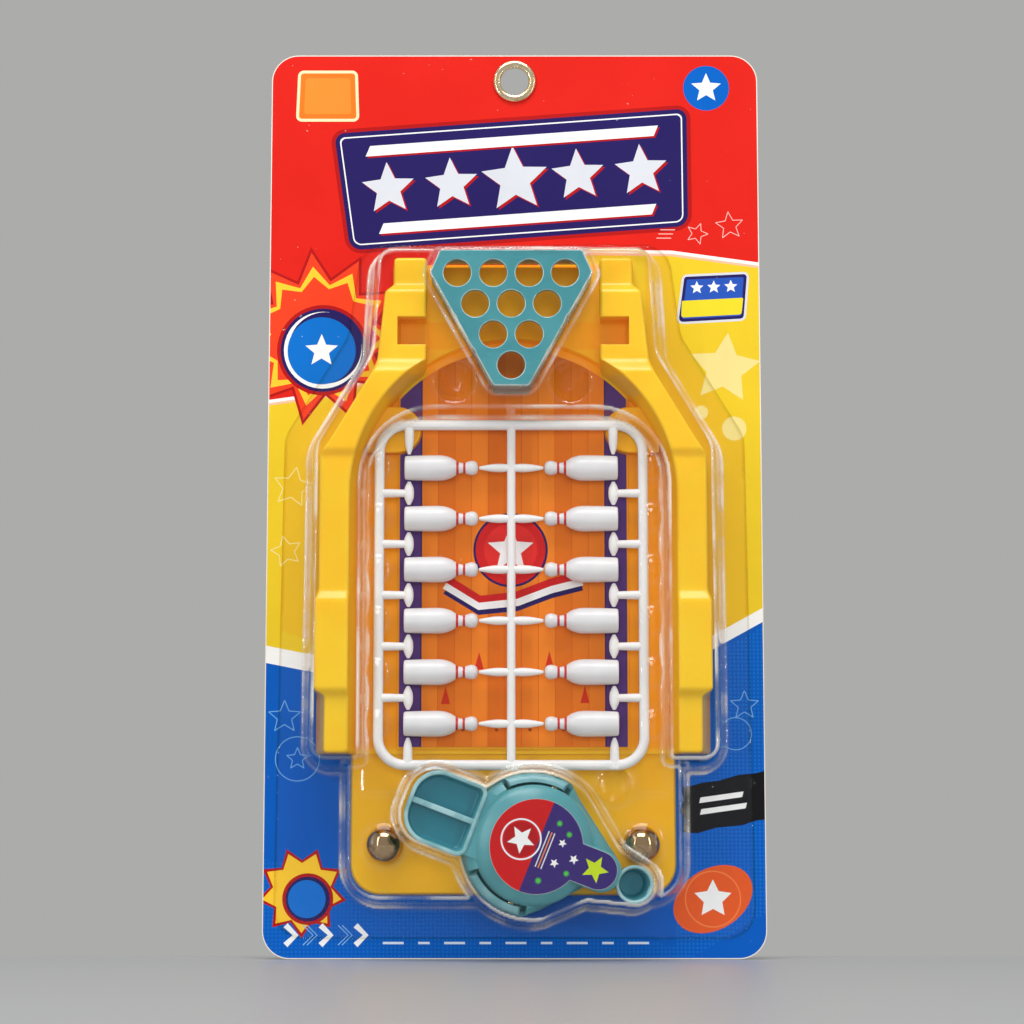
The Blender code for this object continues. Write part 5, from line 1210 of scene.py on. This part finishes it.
# Launcher axle: a ground steel pin with chamfered ends, a push fit in the cheeks.
shaft = [(0, -0.0200), (0.0012, -0.0200), (0.0015, -0.0197), (0.0015, 0.0197), (0.0012, 0.0200), (0, 0.0200)]
axle = turned("launcher_axle_pin", shaft, 32, launcher_seat @ axle_place, axis="y")
shaded(axle, 30)
# The axle takes the same steel, with its amber-brown colour of painted reflection.
axle.data.materials.append(steel_with_painted_reflection)
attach(axle, "launcher")
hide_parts("launcher_axle")


# Launcher arm: teal moulding that rocks on the axle, a dished thumb paddle with a rib, a domed round
# hub, a neck and the cup that the ball lies in. A thumb on the paddle throws the ball.
rest_tilt = math.radians(9)
launcher_pivot = launcher_seat @ axle_place @ Matrix.Rotation(rest_tilt, 4, "Y")
cup_place = Matrix.Translation((0.0317, 0, 0))


def tongued(radius, end, half_width):
    """Plan of a disc with a straight tongue of rounded end."""
    angle = math.degrees(math.asin(half_width / radius))
    disc = arc((0, 0), radius, angle, 360 - angle, 72)
    return disc + arc((end, 0), half_width, -90, 90, 20)


hub = [(0, -0.0033), (0.0172, -0.0033), (0.0176, -0.0029), (0.0177, 0.0028), (0.0176, 0.0034),
       (0.0173, 0.0040), (0.0167, 0.0046), (0.0160, 0.0051), (0.0152, 0.0056), (0.0144, 0.0061),
       (0.0137, 0.0065), (0.0129, 0.0068), (0, 0.0068)]
arm = turned("launcher_arm_moulding", hub, 96)
neck = pad("neck", lambda growth: tongued(0.0138 + growth, 0.0208, 0.0060 + growth), 0.0026, 0.0066, 0.0006)
cup = [(0, -0.0024), (0.0046, -0.0024), (0.0049, -0.0021), (0.00567, 0.0044), (0.00560, 0.0047),
       (0.0054, 0.0048), (0, 0.0048)]
combined(arm, "UNION", neck, turned("cup", cup, 48, cup_place))
paddle_corners = [(-0.0397, 0.0110, 0.0085), (-0.0397, -0.0110, 0.0085), (-0.0183, -0.0110, 0.0030),
                  (-0.0183, 0.0110, 0.0030)]
paddle = pad(
    "paddle", lambda growth: rounded(paddle_corners, growth), -0.0006, 0.0046, 0.0005, -0.0005, 0.0006)
bridge_corners = [(-0.0196, -0.0097), (-0.0073, -0.0097), (-0.0073, 0.0097), (-0.0196, 0.0097)]
bridge = loft("bridge", [[(x, y, level) for x, y in bridge_corners] for level in (0.0, 0.0040)])
combined(arm, "UNION", paddle, bridge)


def apron_plan(growth):
    """Plan of the arm's apron, which covers the base's wall and leaves out the cheeks."""
    radius = 0.0206 + growth
    plan = arc((0, 0), radius, 138, 222, 24) + arc((0, 0), 0.0138, 222, 284, 12)
    plan += arc((0, 0), radius, 284, 285, 1)[:1] + neck_line(growth - 0.0008)
    return plan + arc((0, 0), radius, 76, 77, 1)[:1] + arc((0, 0), 0.0138, 76, 138, 12)


apron_levels = [(-0.0006, -0.0010), (-0.0002, -0.0008), (0.0, -0.0004), (0.0, 0.0016),
                (-0.0003, 0.0021), (-0.0009, 0.0026), (-0.0018, 0.0033), (-0.0022, 0.0036)]
apron = [[(x, y, level) for x, y in apron_plan(growth)] for growth, level in apron_levels]
combined(arm, "UNION", loft("apron", apron))


def recess_plan(growth):
    """Plan of the dish in the paddle."""
    return rounded(paddle_corners, growth - 0.0013)


dish_levels = ((0.0009, -0.0014), (0.0010, -0.0010), (0.0013, -0.0007), (0.0017, -0.0005), (0.0042, 0.0),
               (0.0044, 0.0001), (0.0046, 0.0004), (0.0066, 0.0004))
dish = loft("dish", [[(x, y, level) for x, y in recess_plan(growth)] for level, growth in dish_levels])
rib_corners = [(-0.0402, -0.0009, 0), (-0.0180, -0.0009, 0), (-0.0180, 0.0009, 0), (-0.0402, 0.0009, 0)]
combined(dish, "DIFFERENCE", pad("rib", lambda growth: rounded(rib_corners, growth), -0.0010, 0.0036, 0.0004))
bowl = [(0, -0.0011), (0.0030, -0.0011), (0.0035, -0.0009), (0.0037, -0.0006), (0.0046, 0.0043),
        (0.0048, 0.0046), (0.0051, 0.0048), (0.0051, 0.0068), (0, 0.0068)]
bore = [(0, -0.020), (0.0018, -0.020), (0.0018, 0.020), (0, 0.020)]
combined(arm, "DIFFERENCE", dish, turned("bowl", bowl, 48, cup_place), turned("bore", bore, 32, axis="y"))
arm.data.transform(Matrix.Rotation(rest_tilt, 4, "Y"))
arm.matrix_world = launcher_seat @ axle_place
shaded(welded(arm))


def arm_place(tree):
    """Place on the arm along its own length, width and height."""
    spot = place_on(tree)[0]
    level = put(tree, "ShaderNodeMapping", {"Vector": spot, "Rotation": (0, -rest_tilt, 0)})
    return spot, put(tree, "ShaderNodeSeparateXYZ", {0: level.outputs[0]}).outputs


def arm_painted_highlight(tree):
    """Mask of the rims of the paddle and the cup and the top of the rib, painted pale: a painted highlight.
    """
    spot, parts = arm_place(tree)
    rim = ranged(tree, parts["Z"], 0.0041, 0.0045)
    beyond = sums(tree, "MAXIMUM", ranged(tree, parts["X"], -0.0188, -0.0176, 1.0, 0.0),
                  ranged(tree, parts["X"], 0.0260, 0.0264))
    rib_top = product(tree, ranged(tree, parts["Z"], 0.00325, 0.0035),
                      ranged(tree, sums(tree, "ABSOLUTE", parts["Y"]), 0.0009, 0.0011, 1.0, 0.0))
    return product(tree, sums(tree, "MAXIMUM", rim, rib_top), beyond,
                   ranged(tree, noise(tree, spot, 200.0), 0.30, 0.65, 0.25, 0.75))


def arm_painted_shade(tree):
    """Mask of the paddle's dish and the cup's bowl, painted a deeper teal: painted shade."""
    parts = arm_place(tree)[1]
    low = ranged(tree, parts["Z"], 0.0008, 0.0040, 1.0, 0.0)
    beyond = sums(tree, "MAXIMUM", ranged(tree, parts["X"], -0.0200, -0.0190, 1.0, 0.0),
                  ranged(tree, parts["X"], 0.0266, 0.0270))
    return product(tree, low, beyond)


# The arm's dish and bowl are painted deeper teal as painted shade, its rims and rib top pale as a painted
# highlight.
arm.data.materials.append(plastic_finish(
    "teal_arm", screen(92, 162, 168), screen(78, 150, 158), 55.0, 0.32, 0.00003,
    [(screen(40, 126, 142), arm_painted_shade), (screen(186, 220, 222), arm_painted_highlight)], 0.20, 0.0020, 0.55))
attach(arm, "arm")
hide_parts("launcher_arm")


# Launcher sticker: gloss vinyl, a disc with a tongue along the neck, half red and half purple, with
# loose stars. It lies on the hub's flat crown.
sticker_purple = screen(60, 44, 112)
spark_green = screen(80, 190, 70)
sticker_inks = [([(-0.03, -0.03), (0.03, -0.03), (0.03, 0.03), (-0.03, 0.03)], sticker_purple, 0.0)]
left_half = [(-0.0300, -0.0300), (0.0, -0.0300), (0.0, 0.0300), (-0.0300, 0.0300)]
paint(sticker_inks, screen(202, 28, 30), turned_by(left_half, (0, 0), -1.0))
paint(sticker_inks, screen(236, 236, 240), *ring_line((-0.0050, 0.0004), 0.0058, 0.0005))
paint(sticker_inks, screen(178, 24, 28), circle((-0.0050, 0.0004), 0.0050))
paint(sticker_inks, white, star((-0.0050, 0.0004), 0.0042, 0.45, 5, 68))
for x, y, size, ink in (
        (0.0068, 0.0036, 0.0013, white), (0.0116, 0.0004, 0.0015, white), (0.0066, -0.0026, 0.0014, white),
        (0.0040, 0.0086, 0.0011, spark_green), (0.0078, 0.0066, 0.0011, spark_green),
        (0.0110, -0.0042, 0.0011, spark_green), (0.0040, -0.0090, 0.0012, spark_green),
        (0.0185, 0.0, 0.0041, screen(196, 222, 40))):
    points = 8 if ink == spark_green else 5
    paint(sticker_inks, ink, star((x, y), size, 0.45, points, 80))
for step in range(3):
    stripe = slab(0.0018 + 0.0009 * step, 0.0, 0.00035, 0.0110)
    paint(sticker_inks, screen(240, 140, 50) if step == 1 else silver, turned_by(stripe, (0, 0), -1.0))
sticker_plan = tongued(0.0138, 0.0196, 0.0056)
sticker = printed_sheet(
    "launcher_sticker_print", sticker_plan, tongued(0.01374, 0.0196, 0.00554), [], sticker_inks,
    0.0071, 0.0073, launcher_pivot)
sticker.data.materials.append(print_finish("sticker_print", sticker_purple, 0.0010, 0.24, 0.1, 0.04))
sticker.data.materials.append(bare_board("sticker_edge", screen(220, 220, 224), 0.4))
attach(sticker, "arm")
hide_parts("launcher_sticker")


# Blister: clear sheet, 0.3 mm, vacuum formed over the game and sealed to the card by its flange. Its
# edges are soft, its walls have draft, and it swells over the rack, the launcher and the balls.
def signed_distance(px, py, outline):
    """Distance of grid points from an outline, less than nothing inside it."""
    nearest = np.full(px.shape, 1e9)
    inside = np.zeros(px.shape, bool)
    for (ax, ay), (bx, by) in zip(outline, outline[1:] + outline[:1]):
        ex, ey = bx - ax, by - ay
        length = ex * ex + ey * ey
        if length < 1e-16:
            continue
        share = np.clip(((px - ax) * ex + (py - ay) * ey) / length, 0, 1)
        nearest = np.minimum(nearest, np.hypot(px - ax - share * ex, py - ay - share * ey))
        crosses = (ay > py) != (by > py)
        if ay != by:
            inside ^= crosses & (px < (bx - ax) * (py - ay) / (by - ay) + ax)
    return np.where(inside, -nearest, nearest)


step = 0.00055
grid_x = np.arange(-0.0726, 0.0726 + step, step)
grid_y = np.arange(-0.2625, -0.0505, step)
px, py = np.meshgrid(grid_x, grid_y, indexing="ij")
sheet_low, rim_level, pin_level, foot_level = 0.0005, 0.0210, 0.0141, 0.0135


def swelling(outline, level, draft):
    """Height of a formed block over the flange: full inside its plan, falling away over its draft."""
    away = signed_distance(px, py, outline)
    return sheet_low + (level - sheet_low) * np.clip(1 - away / draft, 0, 1)


tray_cover = rounded(both_sides([
    (0.0408, -0.0566, 0.0050), (0.0428, -0.0885, 0.0110), (0.0594, -0.1160, 0.0110),
    (0.0602, -0.2095, 0.0050)]))
formed = swelling(tray_cover, rim_level, 0.0026)
trough = rounded(both_sides([(0.0450, -0.1058, 0.0210), (0.0450, -0.2195, 0)]))
away = signed_distance(px, py, trough)
sunk = formed + (pin_level - rim_level) * np.clip(-away / 0.0008, 0, 1)
formed = np.where(away < 0, np.maximum(pin_level, sunk), formed)
foot_cover = rounded(both_sides([(0.0496, -0.1995, 0), (0.0496, -0.2502, 0.0098)]))
formed = np.maximum(formed, swelling(foot_cover, foot_level, 0.0014))
pockets = np.minimum(np.hypot(px - 0.0166, py + 0.0975), np.hypot(px + 0.0178, py + 0.0975))
formed = np.minimum(formed, rim_level - 0.0062 * np.clip(1 - (pockets / 0.0058) ** 2, 0, 1) ** 0.8)
rack_cover = rounded(both_sides([
    (0.0212, -0.0581, 0.0025), (rack_widest, rack_shoulder_y, 0.0025),
    (rack_tip, rack_tip_y, 0.0025)]), 0.0009)
formed = np.maximum(formed, swelling([(x - 0.0010, y) for x, y in rack_cover], 0.0247, 0.0042))


def on_launcher(points):
    """Launcher plan turned and moved onto the card."""
    along, across = math.cos(launcher_turn), math.sin(launcher_turn)
    return [(launcher_x + x * along - y * across, launcher_y + x * across + y * along) for x, y in points]


keyhole = arc((0, 0), 0.0224, 62, 298, 72) + [(0.0205, -0.0100)]
keyhole += arc((0.0317, 0), 0.0068, -80, 80, 24) + [(0.0245, 0.0085)]
formed = np.maximum(formed, swelling(on_launcher(keyhole), 0.0262, 0.0013))
formed = np.maximum(formed, swelling(on_launcher(rounded(paddle_corners, 0.0012)), 0.0260, 0.0013))
for x, y in ball_seats:
    reach = np.hypot(px - tray_shift - x, py - y) / 0.0068
    rise = foot_level + 0.0026 * np.clip(1 - reach**2, 0, 1)
    formed = np.maximum(formed, np.where(reach < 1, rise, sheet_low))
for side in (-1, 1):
    for y in pin_rows:
        reach = np.hypot((px - side * 0.0405) / 0.0032, (py - y) / 0.0046)
        rise = pin_level + 0.0024 * np.clip(1 - reach**2, 0, 1) ** 1.4
        formed = np.maximum(formed, np.where(reach < 1, rise, sheet_low))
flange_corners = both_sides([(0.0470, -0.0515, 0.0090), (0.0508, -0.0800, 0.0110), (0.0698, -0.1110, 0.0110),
                             (0.0718, -0.2617, 0.0090)])
flange = rounded(flange_corners, 0.0, 12)
edge_distance = signed_distance(px, py, flange)
for _ in range(3):
    padded = np.pad(formed, 1, mode="edge")
    cross = padded[:-2, 1:-1] + padded[2:, 1:-1] + padded[1:-1, :-2] + padded[1:-1, 2:]
    formed = 0.5 * formed + 0.125 * cross
formed = np.maximum(formed, sheet_low)
tilt = np.arctan(np.hypot(*np.gradient(formed, step)))
folds = np.clip(np.hypot(*np.gradient(tilt)) / 0.42, 0, 1)
folds *= np.clip(0.25 + (pockets - 0.0058) / 0.0020, 0.25, 1)
cut_edge = np.clip(1 + edge_distance / 0.0006, 0, 1)

cover = bmesh.new()
film_layer = cover.loops.layers.float_color.new("film")
inside = edge_distance < -0.2 * step
used_cells = inside[:-1, :-1] & inside[1:, :-1] & inside[:-1, 1:] & inside[1:, 1:]
verts = {}
for i, j in zip(*np.nonzero(used_cells)):
    ring = []
    for a, b in ((i, j), (i + 1, j), (i + 1, j + 1), (i, j + 1)):
        if (a, b) not in verts:
            verts[(a, b)] = cover.verts.new((grid_x[a], grid_y[b], formed[a, b] - 0.0001))
        ring.append((a, b))
    for loop, (a, b) in zip(cover.faces.new([verts[spot] for spot in ring]).loops, ring):
        loop[film_layer] = (folds[a, b], cut_edge[a, b], tilt[a, b] / 1.5, 1.0)
starts = np.array(flange)
spans = np.roll(starts, -1, axis=0) - starts
for vert in [vert for vert in cover.verts if vert.is_boundary]:
    point = np.array(vert.co[:2])
    shares = np.clip(((point - starts) * spans).sum(1) / (spans**2).sum(1), 0, 1)
    feet = starts + spans * shares[:, None]
    vert.co.x, vert.co.y = feet[np.argmin(((feet - point) ** 2).sum(1))]
    for loop in vert.link_loops:
        loop[film_layer] = (0.0, 1.0, 0.0, 1.0)
bmesh.ops.recalc_face_normals(cover, faces=cover.faces)
mesh = bpy.data.meshes.new("blister_cover")
cover.to_mesh(mesh)
cover.free()
mesh.shade_smooth()
blister = bpy.data.objects.new("blister_cover", mesh)
scene.collection.objects.link(blister)
if sum(face.normal.z for face in list(mesh.polygons)[:200]) < 0:
    mesh.flip_normals()
wall_step = blister.modifiers.new("wall", "SOLIDIFY")
wall_step.thickness = 0.0003
wall_step.offset = -1
graph = bpy.context.evaluated_depsgraph_get()
blister.data = bpy.data.meshes.new_from_object(blister.evaluated_get(graph))
blister.modifiers.clear()
blister.matrix_world = card_front

clear_film = bpy.data.materials.new("clear_plastic")
tree = emptied(clear_film)
spot = put(tree, "ShaderNodeTexCoord").outputs["Object"]
ripple = bumped(tree, 0.30, 0.0004, noise(tree, spot, 90.0))
facing = put(tree, "ShaderNodeLayerWeight", {"Blend": 0.5, "Normal": ripple}).outputs["Facing"]
glance = ranged(tree, sums(tree, "POWER", facing, 4.5), 0.0, 1.0, 0.010, 0.80, False)
film = put(tree, "ShaderNodeVertexColor", layer_name="film")
parts = put(tree, "ShaderNodeSeparateColor", {0: film.outputs["Color"]}).outputs
folded, at_edge, steep = parts["Red"], parts["Green"], parts["Blue"]
glance = sums(tree, "ADD", glance, sums(tree, "MULTIPLY", folded, 0.04))
glance = product(tree, glance, ranged(tree, at_edge, 0.0, 1.0, 1.0, 0.3))
# Steep walls pass a greyer, darker light: painted shade for the dark look of the film's walls seen edge-on.
steep_wall_painted_shade = ranged(tree, steep, 0.45, 0.95, 0.0, 0.2)
tint = mixed(tree, steep_wall_painted_shade, (0.990, 0.992, 0.994, 1.0), (0.82, 0.82, 0.80, 1.0))
tint = mixed(tree, at_edge, tint, (0.93, 0.91, 0.86, 1.0))
through = put(tree, "ShaderNodeBsdfTransparent", {"Color": tint})
sheen = put(tree, "ShaderNodeBsdfGlossy", {"Color": (1, 1, 1, 1), "Roughness": 0.05, "Normal": ripple})
clear = put(tree, "ShaderNodeMixShader", {0: glance, 1: through.outputs[0], 2: sheen.outputs[0]})
# Along sharp folds a pale white is mixed in, broken by noise: a painted highlight for the bright lines along
# the film's edges.
fold_painted_highlight = product(tree, ranged(tree, folded, 0.55, 1.0),
                 ranged(tree, noise(tree, spot, 55.0), 0.40, 0.62, 0.04, 0.36))
pale = put(tree, "ShaderNodeBsdfDiffuse", {"Color": screen(255, 250, 238)})
both = put(tree, "ShaderNodeMixShader", {0: fold_painted_highlight, 1: clear.outputs[0], 2: pale.outputs[0]})
put(tree, "ShaderNodeOutputMaterial", {"Surface": both.outputs[0]})
blister.data.materials.clear()
blister.data.materials.append(clear_film)
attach(blister, "cover")
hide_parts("blister")
